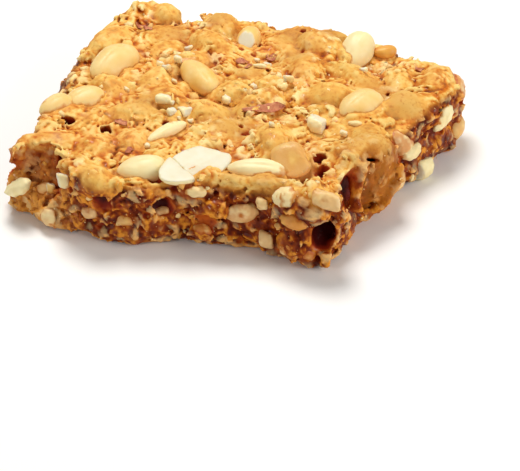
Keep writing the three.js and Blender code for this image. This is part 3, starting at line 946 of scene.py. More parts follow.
@dataclass
class Toffee:
    """The slab of toffee: poured top with folds, films over the kernels, broken sides and a flat underside."""

    edge: Edge
    kernels: list[KernelForm]
    step: float = 0.46
    tray_gap: float = 0.18  # the underside lies this far over the tray, with the kernels flush in it
    low: tuple[float, float, float] = (-58, -52, -1.4)
    high: tuple[float, float, float] = (60, 53, 26.5)
    volume: Volume = field(init=False)
    distance: np.ndarray = field(init=False)
    kernel_distance: np.ndarray = field(init=False)
    unbroken: np.ndarray = field(init=False)  # the solid distance before the hollows are cut
    edge_map: np.ndarray = field(init=False)  # distance from the outline over the grid's floor
    fillet: float = 1.2  # how softly lobes and kernels run into the toffee, in millimetres
    lobes: int = 230
    top_bubbles: int = 24
    side_bubbles: int = 260
    break_threads: int = 40
    mouth_threads: int = 13
    lump_size: float = 2.5  # of the crumbly parts

    def __post_init__(self) -> None:
        """Lays out the grid."""
        self.volume = Volume(self.low, self.high, self.step)

    def edge_distance(self) -> tuple[np.ndarray, np.ndarray]:
        """Distance from the outline over the grid's floor, negative inside, and the way gone round it.

        Returns:
            The two maps.
        """
        places, out, walked = self.edge.steps(900)
        x, y = self.volume.axes[0].astype(float), self.volume.axes[1].astype(float)
        distance = np.zeros((len(x), len(y)))
        gone = np.zeros_like(distance)
        for i, value in enumerate(x):
            dx = value - places[None, :, 0]
            dy = y[:, None] - places[None, :, 1]
            away = np.hypot(dx, dy)
            near = np.argmin(away, axis=1)
            rows = np.arange(len(y))
            side = np.sign(dx[0, near] * out[near, 0] + dy[rows, near] * out[near, 1])
            distance[i] = away[rows, near] * side
            gone[i] = walked[near]
        return distance, gone

    def slab(self) -> np.ndarray:
        """Solid distance of the bare slab."""
        x, y, z = self.volume.places()
        edge, gone = self.edge_distance()
        top = top_height(x[:, :, 0], y[:, :, 0])
        self.edge_map = edge
        level = np.clip(z / top[:, :, None], 0, 1)
        out = np.interp(level.ravel(), SIDE_LEVELS, SIDE_OUT).reshape(level.shape)
        side = edge[:, :, None] - out - side_waviness(gone[:, :, None], level)
        solid = carve(side, z - top[:, :, None], 2.4)
        return solid.astype(np.float32)

    def build_distance(self) -> None:
        """Works out the toffee's solid distance: slab, lobes, films over the kernels, folds and pits."""
        volume = self.volume
        solid = self.slab()
        noise = Noise(SEED + 1)
        for blobs, blend in ((self.pressed_lobes(), self.fillet), (BULGES, 2.5)):
            for blob in blobs:
                window = volume.around(blob, 2)
                solid[window] = join(solid[window], rotated_egg(blob, *volume.places(window)), blend)
        for ridge in RIDGES:
            self.lay_strand(solid, ridge)
        bare_distance = self.coat_kernels(solid, noise)
        solid = self.folded(solid, noise)
        solid = solid + 0.4 * smoothstep(1.8, 0.4, bare_distance) * smoothstep(-0.9, 0.0, solid)
        self.unbroken = solid.copy()
        hollows = (hollow for hollow in HOLLOWS if not hollow.recut)
        for pit in (*hollows, *TEARS, *self.bubbles()):
            self.tear_out(solid, pit, noise)
        self.lay_strand(solid, LIP)
        for thread in self.web():
            self.lay_strand(solid, thread, 0.6)
        self.distance = np.maximum(solid, self.tray_gap - volume.places()[2]).astype(np.float32)

    def coat_kernels(self, solid: np.ndarray, noise: Noise) -> np.ndarray:
        """Draws the toffee up to each kernel, as a patchy film, and notes how far each place is from one.

        Args:
            solid: the toffee's distance, which is changed.
            noise: the noise that makes the films patchy.

        Returns:
            The distance to the kernels that are laid open.
        """
        volume = self.volume
        self.kernel_distance = np.full(volume.shape, 9.0, dtype=np.float32)
        bare_distance = self.kernel_distance.copy()
        for form in self.kernels:
            window = volume.window(tuple(form.middle), form.reach)
            body, _ = form.distance(*volume.places(window))
            places, shape = volume.rows(window)
            patchy = (noise(places, 4.5) + 0.5 * noise(places, 1.9)).reshape(shape)
            is_open = form.kernel.coat in (Coat.BARE, Coat.SMEARED)
            film = form.kernel.coat.value + (0.5 if is_open else 0.15) * patchy
            solid[window] = join(solid[window], body - film, self.fillet)
            self.kernel_distance[window] = np.minimum(self.kernel_distance[window], body)
            if is_open:
                bare_distance[window] = np.minimum(bare_distance[window], body)
        return bare_distance

    def tear_out(self, solid: np.ndarray, pit: Blob, noise: Noise) -> None:
        """Cuts a pit with ragged walls.

        Args:
            solid: the distance to cut it out of.
            pit: its shape.
            noise: the noise that roughens its walls.
        """
        window = self.volume.around(pit, 1.5)
        places, shape = self.volume.rows(window)
        ragged = 0.07 * min(pit.sizes) * noise(places, 3.0)
        if pit.lumpy:
            grains, size_of = noise.lumps(places + 0.8 * noise(places, 3.0)[:, None], 2.1)
            ragged += 1.2 - 1.7 * grains * (0.4 + size_of) - 1.2 * np.abs(noise(places, 1.4))
        egg = rotated_egg(pit, *self.volume.places(window))
        solid[window] = carve(solid[window], ragged.reshape(shape) - egg, 0.5)

    def web(self) -> list[Strand]:
        """Threads of toffee that span the torn places.

        Returns:
            The threads.
        """
        random = np.random.default_rng(SEED + 5)
        threads = []
        for _ in range(self.break_threads):
            x = random.uniform(-44.5, -31)
            fall = random.uniform(0, 1)  # from the lip down to the sill
            start = np.array([x, -33.6 - 5 * fall + 0.2 * (x + 38), 15.5 - 8 * fall])
            run = np.array([random.uniform(-4, 4), random.uniform(-3, 0), random.uniform(-4, 1)])
            sag = random.uniform(-0.9, 0.9, 3)
            threads.append(Strand((start, start + run / 2 + sag, start + run), random.uniform(0.25, 0.45)))
        for _ in range(self.mouth_threads):
            a, b, c = random.uniform(-2.4, 2.4, 3)
            top = (38.8 + a, -17.2 + 0.28 * a, 18.2)
            middle = (39.3 + 0.6 * (a + b) / 2, -19.4 + 0.2 * b, 14.0)
            bottom = (40.2 + 0.7 * c, -22.4 + 0.2 * c, 9.8)
            threads.append(Strand((top, middle, bottom), random.uniform(0.35, 0.65)))
        return threads

    def lay_strand(self, solid: np.ndarray, strand: Strand, blend: float = 1.4) -> None:
        """Adds a strand of toffee.

        Args:
            solid: the distance to add it to.
            strand: its path and width.
            blend: how softly it runs into the rest.
        """
        points = np.array(strand.points, dtype=float)
        for a, b in zip(points[:-1], points[1:]):
            window = self.volume.window(tuple((a + b) / 2), np.linalg.norm(b - a) / 2 + strand.half + 2)
            x, y, z = self.volume.places(window)
            run = b - a
            share = ((x - a[0]) * run[0] + (y - a[1]) * run[1] + (z - a[2]) * run[2]) / (run @ run)
            share = np.clip(share, 0, 1)
            gaps = [v - a[i] - share * run[i] for i, v in enumerate((x, y, z))]
            away = np.sqrt(sum(gap**2 for gap in gaps)) - strand.half
            solid[window] = join(solid[window], away, blend)

    def pressed_lobes(self) -> list[Blob]:
        """Lobes of toffee on the top, as the stirred mass was pressed out.

        Returns:
            The lobes.
        """
        random = np.random.default_rng(SEED + 2)
        lobes = []
        for _ in range(self.lobes):
            x, y = random.uniform(-50, 55), random.uniform(-44, 46)
            length = random.uniform(3, 9)
            z = float(top_height(x, y)) + random.uniform(-0.7, 0.35)
            sizes = (length, length * random.uniform(0.4, 0.75), random.uniform(1.2, 2.4))
            lobe = Blob(x, y, z, sizes, random.uniform(0, 180), random.uniform(-9, 9))
            if self.edge.depth(x, y) > 2:
                lobes.append(lobe)
        return lobes

    def bubbles(self) -> list[Blob]:
        """Small burst bubbles, a few in the top and many in the broken sides.

        Returns:
            The bubbles.
        """
        random = np.random.default_rng(SEED + 3)
        bubbles = []
        for _ in range(self.top_bubbles):
            x, y = random.uniform(-48, 52), random.uniform(-42, 44)
            size = random.uniform(0.9, 1.9)
            z = float(top_height(x, y)) + random.uniform(-0.3, 0.6)
            bubbles.append(Blob(x, y, z, (size, size * 0.8, size * 1.4), random.uniform(0, 180)))
        places, out, _ = self.edge.steps(240)
        for _ in range(self.side_bubbles):
            i = random.integers(len(places))
            size = random.uniform(0.8, 2.2) ** 1.1
            at = places[i] - out[i] * random.uniform(-0.3, 1.0)
            sizes = (size, size, size * 0.8)
            bubbles.append(Blob(at[0], at[1], random.uniform(1.5, 17), sizes, random.uniform(0, 180)))
        return bubbles

    def folded(self, solid: np.ndarray, noise: Noise) -> np.ndarray:
        """Adds folds, creases and crumbly breaks to the surface.

        Args:
            solid: distance of the toffee so far.
            noise: the noise to fold it with.

        Returns:
            The distance with the relief.
        """
        volume = self.volume
        near = np.abs(solid) < 2.2
        index = np.nonzero(near)
        places = np.stack([axis[i] for axis, i in zip(volume.axes, index)], axis=1)
        bent, warp = self.bend(places, noise)
        broken = self.broken(places, noise)
        thin_film = smoothstep(1.8, 0.4, self.kernel_distance[near])
        crumbly = self.crumbly(places, noise)
        crumb, tone = noise.lumps(bent, self.lump_size)
        crumb = crumb**0.7 * (0.3 + tone)
        gap = smoothstep(0.1, 0.0, np.abs(noise(bent + 5.0, 5.4)))
        gap = gap * smoothstep(-0.05, 0.35, noise(places + 40.0, 8.0))
        folds = np.abs(noise(bent * np.array([0.5, 1.15, 1.0]) + 17.0, 2.6))
        lobes = np.abs(noise(bent, 4.6)) + 0.7 * np.abs(noise(bent + 3.3, 8.5))
        small = np.abs(noise(bent + 9.1, 2.1))
        grit = np.abs(noise(places + 1.2 * warp, 1.15))
        shelf = noise(places + 1.6 * warp, 9.0) * 4.5
        cliff = shelf - np.floor(shelf)
        layer = smoothstep(0.0, 0.16, cliff) * (1 - smoothstep(0.16, 1.0, cliff))
        smooth_rise = 1.0 * lobes + 0.2 * small + 0.3 * folds + 0.5 * layer - 0.8
        crumb_rise = 0.6 * lobes + 0.9 * crumb + 0.35 * small + 0.15 * grit - 0.9
        top_rise = smooth_rise + (crumb_rise - smooth_rise) * crumbly - 1.5 * gap
        chunk = np.abs(noise(bent * np.array([1.0, 1.0, 1.5]), 3.2))
        side_rise = 1.3 * chunk + 0.85 * crumb + 0.6 * small + 0.6 * grit - 1.2 - 0.9 * gap
        rise = top_rise * (1 - broken) + side_rise * broken
        still = self.calm(places, CALM_PLACES) * (1 - broken)
        still = np.maximum(still, 0.65 * self.calm(places, CALM_SIDES))
        rise = rise * (1 - 0.5 * thin_film) * (1 - 0.7 * still)
        result = solid.copy()
        result[near] = solid[near] - rise
        return result

    @staticmethod
    def bend(places: np.ndarray, noise: Noise) -> tuple[np.ndarray, np.ndarray]:
        """Places pushed about, so that the relief flows as stirred toffee does, and the push's wide part."""
        warp = np.stack([noise(places + shift, 7.0) for shift in (0, 31.7, 63.1)], axis=1)
        fine = np.stack([noise(places + shift, 1.9) for shift in (11.3, 47.9, 83.3)], axis=1)
        return places + 2.2 * warp + 0.75 * fine, warp

    def broken(self, places: np.ndarray, noise: Noise) -> np.ndarray:
        """How far below the poured top some places are, from 0 to 1 where the side is torn."""
        below = np.asarray(top_height(places[:, 0], places[:, 1])) - places[:, 2]
        at = ((places[:, :2] - self.volume.low[:2]) / self.step).round().astype(int)
        at = np.clip(at, 0, np.array(self.edge_map.shape) - 1)
        rim = smoothstep(-3.2, -0.4, self.edge_map[at[:, 0], at[:, 1]])
        return smoothstep(0.0, 2.6, below + 1.5 * noise(places, 6.0) - 0.9 + 1.5 * rim)

    @staticmethod
    def calm(places: np.ndarray, spots: tuple[tuple[float, float, float], ...]) -> np.ndarray:
        """How much the toffee was smoothed out at some places, from 0 to 1."""
        calm = np.zeros(len(places), dtype=np.float32)
        for x, y, reach in spots:
            far = ((places[:, 0] - x) ** 2 + (places[:, 1] - y) ** 2) / reach**2
            calm = np.maximum(calm, np.exp(-(far**2)))
        return calm

    @staticmethod
    def crumbly(places: np.ndarray, noise: Noise) -> np.ndarray:
        """How crumbly the toffee is at some places, from 0 for smooth to 1."""
        return smoothstep(-0.1, 0.4, noise(places, 13.0) + 0.4 * noise(places, 5.0))

    def build(self, material: bpy.types.Material) -> bpy.types.Object:
        """Meshes the toffee and stores what its finish reads.

        Args:
            material: the toffee's finish.

        Returns:
            The toffee.
        """
        places, faces = self.volume.surface(self.distance, 0.36)
        piece = make_object("toffee_slab", places, faces, material)
        places = np.array([v.co for v in piece.data.vertices]) / METRES + np.array([*BOX_CENTRE, 0.0])
        filled = (self.distance < 0).astype(np.float32)
        volume = self.volume
        # how creased each place is; the finish darkens creases with it, partly the toffee's own deeper brown
        # and partly painted shade
        crease_tint_and_shade = volume.sample(volume.blurred(filled, 1.6), places) - 0.5
        # painted shade: a wide blur of the solid whose excess darkens the larger hollows
        hollow = volume.sample(volume.blurred(filled, 7.0), places) - 0.5
        noise = Noise(SEED + 1)
        broken = self.broken(places, noise)
        # the left break is painted lighter and gets less painted shade; the mouth of the shell gets less
        # painted shade
        left_break_painted_light, mouth_less_painted_shade = (self.calm(places, (spot,)) for spot in (LEFT_BREAK, MOUTH))
        paint(piece, "crease_tint_and_shade", crease_tint_and_shade - 0.1 * left_break_painted_light * broken)
        paint(piece, "broken", broken * (1 - 0.5 * left_break_painted_light))
        paint(piece, "hollow", hollow * (1 - 0.9 * left_break_painted_light) * (1 - 0.75 * mouth_less_painted_shade))
        film = smoothstep(1.4, 0.2, volume.sample(self.kernel_distance, places))
        paint(piece, "film", film)
        # how deep each place lies in a pit; the finish darkens pits with it further in, as painted shade
        hole = np.clip(-0.1 - volume.sample(self.unbroken, places), 0, 4) / 4
        hole = hole * (1 - 0.95 * left_break_painted_light) * (1 - 0.7 * mouth_less_painted_shade)
        paint(piece, "hole", hole)
        crumb, tone = noise.lumps(self.bend(places, noise)[0], self.lump_size)
        crumbly = self.crumbly(places, noise)
        lump = smoothstep(0.25, 0.6, crumb) * (crumbly * (1 - broken) + 0.5 * broken) * (1 - film)
        # painted light: bright lumps in the left break, which lies in shade
        golden = 0.6 * left_break_painted_light * broken * smoothstep(0.6, 0.7, tone)
        paint(piece, "pale", np.maximum(lump * smoothstep(0.5, 0.75, tone), golden))
        calm = self.calm(places, CALM_PLACES) * (1 - broken)
        calm = np.maximum(calm, self.calm(places, (CALM_FLANK,)) * smoothstep(0.12, 0.0, hole))
        paint(piece, "calm", calm)
        open_side = smoothstep(1.4, 2.6, places[:, 2])
        open_side = open_side * (1 - 0.8 * calm) * smoothstep(0.1, 0.0, hole)
        paint(piece, "crumbs", (0.08 + 0.9 * crumbly) * (1 - 0.7 * film) * (1 - 0.5 * broken) * open_side)
        # sugar specks, thickest on the torn sides, where their pale dots also stand in for glints
        paint(piece, "speck_and_glint_density", (0.05 + 0.25 * crumbly + 0.85 * broken) * open_side)
        return piece

    def seat(self, form: KernelForm) -> None:
        """Moves a small bit up or down until it lies in the toffee's surface."""
        i, j = (int(round((form.middle[k] - self.volume.low[k]) / self.step)) for k in (0, 1))
        inside = np.nonzero(self.distance[i, j] < 0)[0]
        form.middle[2] = self.volume.axes[2][inside.max()] + form.kernel.lift

    def height_map(self) -> np.ndarray:
        """Height of the topmost surface, toffee or kernel, over the grid's floor."""
        solid = np.minimum(self.distance, self.kernel_distance) < 0
        top = solid.shape[2] - 1 - np.argmax(solid[:, :, ::-1], axis=2)
        return self.volume.low[2] + (top + 0.5) * self.step


@dataclass
class KernelBatch:
    """Some kernels as one piece, each meshed from its own solid distance."""

    name: str
    forms: list[KernelForm]
    toffee: Toffee
    step: float

    def build(self, material: bpy.types.Material) -> bpy.types.Object:
        """Meshes the kernels that show.

        Args:
            material: the kernels' finish.

        Returns:
            The piece.
        """
        corners, loose, notes = [], [], {"toast": [], "inner": [], "near": [], "glaze": []}
        count = 0
        for form in self.forms:
            low = form.middle - form.reach
            high = form.middle + form.reach
            volume = Volume(tuple(low), tuple(high), self.step)
            body, _ = form.distance(*volume.places())
            body = np.maximum(body, 0.03 - volume.places()[2])
            places, faces = volume.surface(body, 0.02)
            depth = self.toffee.volume.sample(self.toffee.distance, places)
            if depth.max() < 0.15:
                continue
            _, over = form.distance(places[:, 0], places[:, 1], places[:, 2])
            corners.append(places)
            loose.append([f + count for f in faces])
            notes["toast"].append(np.full(len(places), form.kernel.toast))
            notes["inner"].append(smoothstep(-0.25, -0.05, over) * max(0.0, 1 - 3 * form.kernel.glaze))
            notes["near"].append(smoothstep(0.8, 0.0, depth))
            notes["glaze"].append(np.full(len(places), form.kernel.glaze))
            count += len(places)
        sides = sorted({f.shape[1] for group in loose for f in group})
        faces = [np.concatenate([f for group in loose for f in group if f.shape[1] == n]) for n in sides]
        piece = make_object(self.name, np.concatenate(corners), faces, material)
        for name, values in notes.items():
            paint(piece, name, np.concatenate(values))
        return piece


@dataclass
class Crumbs:
    """Small crumbs that stuck to the toffee, scattered over it by Geometry Nodes and made one plain mesh."""

    name: str
    bed: bpy.types.Object
    where: str  # the bed's stored number that says how thickly they lie
    each_square_metre: float
    smallest_mm: float
    largest_mm: float
    sunk_mm: float
    seed: int
    fine: bool = False

    def tree(self) -> bpy.types.NodeTree:
        """The scattering, with its sizes as named inputs.

        Returns:
            The tree.
        """
        tree = bpy.data.node_groups.new(self.name, "GeometryNodeTree")
        face = tree.interface
        face.new_socket("Geometry", in_out="INPUT", socket_type="NodeSocketGeometry")
        for title in ("Density", "Smallest", "Largest", "Sunk"):
            face.new_socket(title, in_out="INPUT", socket_type="NodeSocketFloat")
        face.new_socket("Seed", in_out="INPUT", socket_type="NodeSocketInt")
        face.new_socket("Finish", in_out="INPUT", socket_type="NodeSocketMaterial")
        face.new_socket("Geometry", in_out="OUTPUT", socket_type="NodeSocketGeometry")
        sketch = NodeSketch(tree)
        given = sketch.add("NodeGroupInput").outputs
        chance, shape, turn, toast = self.drawn(sketch, given["Seed"])

        # where they lie
        where = sketch.add("GeometryNodeInputNamedAttribute", {"data_type": "FLOAT"}, {"Name": self.where})
        shares = {0: where.outputs[0], 1: given["Density"]}
        thick = sketch.add("ShaderNodeMath", {"operation": "MULTIPLY"}, shares)
        spread = {"Mesh": given["Geometry"], "Density": thick.outputs[0], "Seed": given["Seed"]}
        points = sketch.add("GeometryNodeDistributePointsOnFaces", inputs=spread)
        inward = {0: points.outputs["Normal"], "Scale": given["Sunk"]}
        down = sketch.add("ShaderNodeVectorMath", {"operation": "SCALE"}, inward)
        moved = {"Geometry": points.outputs[0], "Offset": down.outputs[0]}
        bedded = sketch.add("GeometryNodeSetPosition", inputs=moved)

        # the crumb that is repeated
        if self.fine:
            stone = sketch.add("GeometryNodeMeshIcoSphere", inputs={"Radius": 0.5, "Subdivisions": 1})
        else:
            stone = sketch.add("GeometryNodeMeshUVSphere", inputs={"Radius": 0.5, "Segments": 7, "Rings": 5})
        here = sketch.add("GeometryNodeInputPosition").outputs[0]
        wobble = sketch.add("ShaderNodeTexNoise", inputs={"Scale": 2.6, "Detail": 1.0, "Vector": here})
        centred = {0: wobble.outputs["Color"], 1: (1.0,) * 3, 2: (-0.5,) * 3}
        offset = sketch.add("ShaderNodeVectorMath", {"operation": "MULTIPLY_ADD"}, centred)
        uneven = {"Geometry": stone.outputs[0], "Offset": offset.outputs[0]}
        stone = sketch.add("GeometryNodeSetPosition", inputs=uneven)
        smooth = {"Geometry": stone.outputs[0], "Shade Smooth": not self.fine}
        stone = sketch.add("GeometryNodeSetShadeSmooth", inputs=smooth)

        # its sizes and turns, with many more small ones than large ones
        small = sketch.add("ShaderNodeMath", {"operation": "POWER"}, {0: chance, 1: 2.2})
        sizes = {"Value": small.outputs[0], "To Min": given["Smallest"], "To Max": given["Largest"]}
        size = sketch.add("ShaderNodeMapRange", inputs=sizes).outputs[0]
        scale = sketch.add("ShaderNodeVectorMath", {"operation": "SCALE"}, {0: shape, "Scale": size})
        placed = {"Points": bedded.outputs[0], "Instance": stone.outputs[0], "Rotation": turn}
        laid = sketch.add("GeometryNodeInstanceOnPoints", inputs=placed | {"Scale": scale.outputs[0]})
        roast = {"Geometry": laid.outputs[0], "Name": "toast", "Value": toast}
        kind = {"data_type": "FLOAT", "domain": "INSTANCE"}
        noted = sketch.add("GeometryNodeStoreNamedAttribute", kind, roast)
        real = sketch.add("GeometryNodeRealizeInstances", inputs={"Geometry": noted.outputs[0]})
        finished = {"Geometry": real.outputs[0], "Material": given["Finish"]}
        dressed = sketch.add("GeometryNodeSetMaterial", inputs=finished)
        sketch.add("NodeGroupOutput", inputs={"Geometry": dressed.outputs[0]})
        return tree

    @staticmethod
    def drawn(sketch: NodeSketch, seed: bpy.types.NodeSocket) -> list[bpy.types.NodeSocket]:
        """Draws random values for each crumb.

        Args:
            sketch: the nodes.
            seed: the tree's seed.

        Returns:
            Its share of the sizes, its shape, its turn and its roast.
        """
        share = (0.0, 1.0)
        shapes = ((0.5, 0.5, 0.4), (1.0, 0.9, 0.8))
        turns = ((0.0,) * 3, (2 * math.pi,) * 3)
        result = []
        for number, (low, high) in enumerate((share, shapes, turns, share), start=1):
            own = sketch.add("ShaderNodeMath", {"operation": "ADD"}, {0: seed, 1: float(number)})
            kind, first, output = ("FLOAT", 2, 1) if isinstance(low, float) else ("FLOAT_VECTOR", 0, 0)
            ends = {first: low, first + 1: high, "Seed": own.outputs[0]}
            result.append(sketch.add("FunctionNodeRandomValue", {"data_type": kind}, ends).outputs[output])
        return result

    def build(self, material: bpy.types.Material) -> bpy.types.Object:
        """Scatters the crumbs.

        Args:
            material: their finish.

        Returns:
            The crumbs, as one piece.
        """
        holder = bpy.data.objects.new(f"{self.name}_bed", self.bed.data)
        bpy.context.scene.collection.objects.link(holder)
        modifier = holder.modifiers.new("scatter", "NODES")
        modifier.node_group = self.tree()
        values = {
            "Density": self.each_square_metre,
            "Smallest": self.smallest_mm * METRES,
            "Largest": self.largest_mm * METRES,
            "Sunk": -self.sunk_mm * METRES,
            "Seed": self.seed,
            "Finish": material,
        }
        for item in modifier.node_group.interface.items_tree:
            if item.in_out == "INPUT" and item.name in values:
                modifier[item.identifier] = values[item.name]
        evaluated = holder.evaluated_get(bpy.context.evaluated_depsgraph_get())
        mesh = bpy.data.meshes.new_from_object(evaluated)
        mesh.name = self.name
        holder.modifiers.remove(modifier)
        bpy.data.objects.remove(holder)
        piece = bpy.data.objects.new(self.name, mesh)
        bpy.context.scene.collection.objects.link(piece)
        return piece


@dataclass(frozen=True)
class Skin:
    """A flake of papery red skin that lies on the toffee."""

    x: float
    y: float
    length: float
    width: float
    yaw: float
    curl: float = 0.5  # how far its long edges lift


SKINS = (
    Skin(8.6, -1.0, 11.5, 2.3, 38, 0.8),
    Skin(-6.0, 21.5, 3.2, 2.2, 40),
    Skin(-3.2, 19.0, 2.4, 1.6, 70),
    Skin(-24.4, -18.8, 3.0, 2.2, -12),
    Skin(-40.5, 31.0, 3.2, 2.0, -26),
    Skin(-36.8, 27.8, 2.4, 1.8, 10),
    Skin(0.4, 27.0, 2.6, 1.8, 15),
    Skin(41.0, 33.5, 2.4, 1.8, 50),
    Skin(-17.5, -29.0, 2.2, 1.6, 80),
)


@dataclass
class SkinFlakes:
    """All the skins as one piece, each a thin curled shell laid on the surface below."""

    toffee: Toffee
    cells_long: int = 14
    cells_wide: int = 6
    thick: float = 0.14

    def build(self, material: bpy.types.Material) -> bpy.types.Object:
        """Lays the skins.

        Args:
            material: their finish.

        Returns:
            The piece.
        """
        heights = self.toffee.height_map()
        corners, faces, count = [], [], 0
        for number, skin in enumerate(SKINS):
            top = self.sheet(skin, number, heights)
            rows, columns = self.cells_long + 1, self.cells_wide + 1
            low = top - np.array([0, 0, self.thick])
            corners += [top.reshape(-1, 3), low.reshape(-1, 3)]
            drop = rows * columns  # from a corner's number to that of the one under it
            at = np.arange(drop).reshape(rows, columns) + count
            upper = np.stack([at[:-1, :-1], at[1:, :-1], at[1:, 1:], at[:-1, 1:]], axis=-1).reshape(-1, 4)
            lower = upper[:, (0, 3, 2, 1)] + drop
            ring = np.concatenate([at[:-1, 0], at[-1, :-1], at[:0:-1, -1], at[0, :0:-1]])
            after = np.roll(ring, -1)
            wall = np.stack([ring, ring + drop, after + drop, after], axis=-1)
            faces += [upper, lower, wall]
            count += 2 * drop
        faces = [np.concatenate(faces).astype(np.int32)]
        places = np.concatenate(corners)
        if enclosed(places, faces) < 0:
            faces = [faces[0][:, ::-1]]
        return make_object("skin_flakes", places, faces, material)

    def sheet(self, skin: Skin, number: int, heights: np.ndarray) -> np.ndarray:
        """The upper side of one skin: a ragged leaf that follows the surface and lifts at its long edges.

        Args:
            skin: its size and place.
            number: its place in the list, which sets its own edge.
            heights: heights of the surface below.

        Returns:
            A grid of places.
        """
        random = np.random.default_rng(SEED + 700 + number)
        u = np.linspace(-1, 1, self.cells_long + 1)[:, None]
        v = np.linspace(-1, 1, self.cells_wide + 1)[None, :]
        ragged = 1 + 0.18 * np.sin(5 * u + random.uniform(0, 6)) + 0.1 * np.sin(11 * u + random.uniform(0, 6))
        half_width = skin.width / 2 * np.sqrt(np.clip(1 - np.abs(u) ** 3, 0.03, 1)) * ragged
        along = u * skin.length / 2 + 0.15 * skin.width * np.sin(4 * v + number)
        across = v * half_width + 0.12 * skin.length * (u**2 - 0.3) * random.uniform(-1, 1)
        angle = math.radians(skin.yaw)
        x = skin.x + along * math.cos(angle) - across * math.sin(angle)
        y = skin.y + along * math.sin(angle) + across * math.cos(angle)
        volume = self.toffee.volume
        i = np.clip(((x - volume.low[0]) / volume.step).astype(int), 0, heights.shape[0] - 1)
        j = np.clip(((y - volume.low[1]) / volume.step).astype(int), 0, heights.shape[1] - 1)
        below = heights[i, j]
        mean = below.mean()
        rest = np.clip(below, mean - 0.5, mean + 0.9)
        for _ in range(6):
            wide = np.pad(rest, 1, mode="edge")
            rest = (wide[:-2, 1:-1] + wide[2:, 1:-1] + wide[1:-1, :-2] + wide[1:-1, 2:] + 2 * rest) / 6
        lifted = np.maximum(rest, below - 0.3) + 0.22 + skin.curl * v**2 * 0.5
        return np.stack([x, y, lifted], axis=-1)


def linear(colour: str) -> tuple[float, float, float, float]:
    """An sRGB hex colour as the linear numbers that shaders take.

    Args:
        colour: six hex digits.

    Returns:
        Red, green, blue and 1.
    """
    parts = [int(colour[i : i + 2], 16) / 255 for i in (0, 2, 4)]
    return (*(c / 12.92 if c <= 0.04045 else ((c + 0.055) / 1.055) ** 2.4 for c in parts), 1.0)


@dataclass(frozen=True)
class Layer:
    """A colour laid over another in a finish."""

    share: bpy.types.NodeSocket  # where it lies
    colour: bpy.types.NodeSocket | str
    strength: float = 1.0
    stains: bool = False  # multiplies the colour under it instead of hiding it


def set_stops(ramp: bpy.types.ColorRamp, stops: tuple[tuple[float, str], ...]) -> None:
    """Sets the colours of a ramp.

    Args:
        ramp: the ramp.
        stops: places along it, each with a hex colour.
    """
    while len(ramp.elements) < len(stops):
        ramp.elements.new(0.5)
    for element, (place, colour) in zip(ramp.elements, stops):
        element.position = place
        element.color = linear(colour)


@dataclass
class NodeSketch:
    """The nodes of a material or of a scattering while they are put together."""

    tree: bpy.types.NodeTree

    def add(self, kind: str, settings: dict | None = None, inputs: dict | None = None) -> bpy.types.Node:
        """Adds a node.

        Args:
            kind: the node's type.
            settings: its properties, and a ramp's stops as places with hex colours.
            inputs: sockets by name or number, each with its value or with the output that feeds it.

        Returns:
            The node.
        """
        node = self.tree.nodes.new(kind)
        for key, value in (settings or {}).items():
            if key == "stops":
                set_stops(node.color_ramp, value)
            else:
                setattr(node, key, value)
        for key, value in (inputs or {}).items():
            if isinstance(value, bpy.types.NodeSocket):
                self.tree.links.new(value, node.inputs[key])
            else:
                node.inputs[key].default_value = value
        return node

    def lay_over(self, colour: bpy.types.NodeSocket, *layers: Layer) -> bpy.types.NodeSocket:
        """Lays colours over a colour, one after another.

        Args:
            colour: the colour to start from.
            layers: the colours to lay over it.

        Returns:
            The colour that shows.
        """
        for layer in layers:
            share = {0: layer.share, 1: layer.strength}
            share = self.add("ShaderNodeMath", {"operation": "MULTIPLY", "use_clamp": True}, share).outputs[0]
            over = linear(layer.colour) if isinstance(layer.colour, str) else layer.colour
            way = {"data_type": "RGBA", "blend_type": "MULTIPLY" if layer.stains else "MIX"}
            colour = self.add("ShaderNodeMix", way, {0: share, 6: colour, 7: over}).outputs[2]
        return colour

    def total(self, start: float, *terms: tuple[bpy.types.NodeSocket, float]) -> bpy.types.NodeSocket:
        """A start value and weighted outputs added up, kept from 0 to 1.

        Args:
            start: the number to start from.
            terms: outputs, each with its weight.

        Returns:
            The sum.
        """
        result = start
        for output, weight in terms:
            node = self.add("ShaderNodeMath", {"operation": "MULTIPLY_ADD"}, {0: output, 1: weight, 2: result})
            result = node.outputs[0]
        node.use_clamp = True
        return result

    def grain(self, size_mm: float, detail: float = 2.0, rough: float = 0.5) -> bpy.types.NodeSocket:
        """Noise on object coordinates.

        Args:
            size_mm: how far across its blotches are, about.
            detail: how many finer noises are in it.
            rough: how strong the finer noises are.

        Returns:
            The noise, from 0 to 1.
        """
        here = self.add("ShaderNodeTexCoord").outputs["Object"]
        inputs = {"Vector": here, "Scale": 1 / (size_mm * METRES), "Detail": detail, "Roughness": rough}
        return self.add("ShaderNodeTexNoise", inputs=inputs).outputs["Fac"]

    def stored(self, *names: str) -> list[bpy.types.NodeSocket]:
        """The numbers that the piece stores under some names."""
        nodes = [self.add("ShaderNodeAttribute", {"attribute_name": name}) for name in names]
        return [node.outputs["Fac"] for node in nodes]

    def finish(self, inputs: dict) -> None:
        """Ends the material in one principled shader with these inputs."""
        shader = self.add("ShaderNodeBsdfPrincipled", inputs=inputs)
        self.add("ShaderNodeOutputMaterial", inputs={"Surface": shader.outputs[0]})


def new_material(name: str) -> tuple[bpy.types.Material, NodeSketch]:
    """An empty material and the sketch of its nodes.

    Args:
        name: what the material is.

    Returns:
        The material and its sketch.
    """
    material = bpy.data.materials.new(name)
    material.use_nodes = True
    material.node_tree.nodes.clear()
    return material, NodeSketch(material.node_tree)


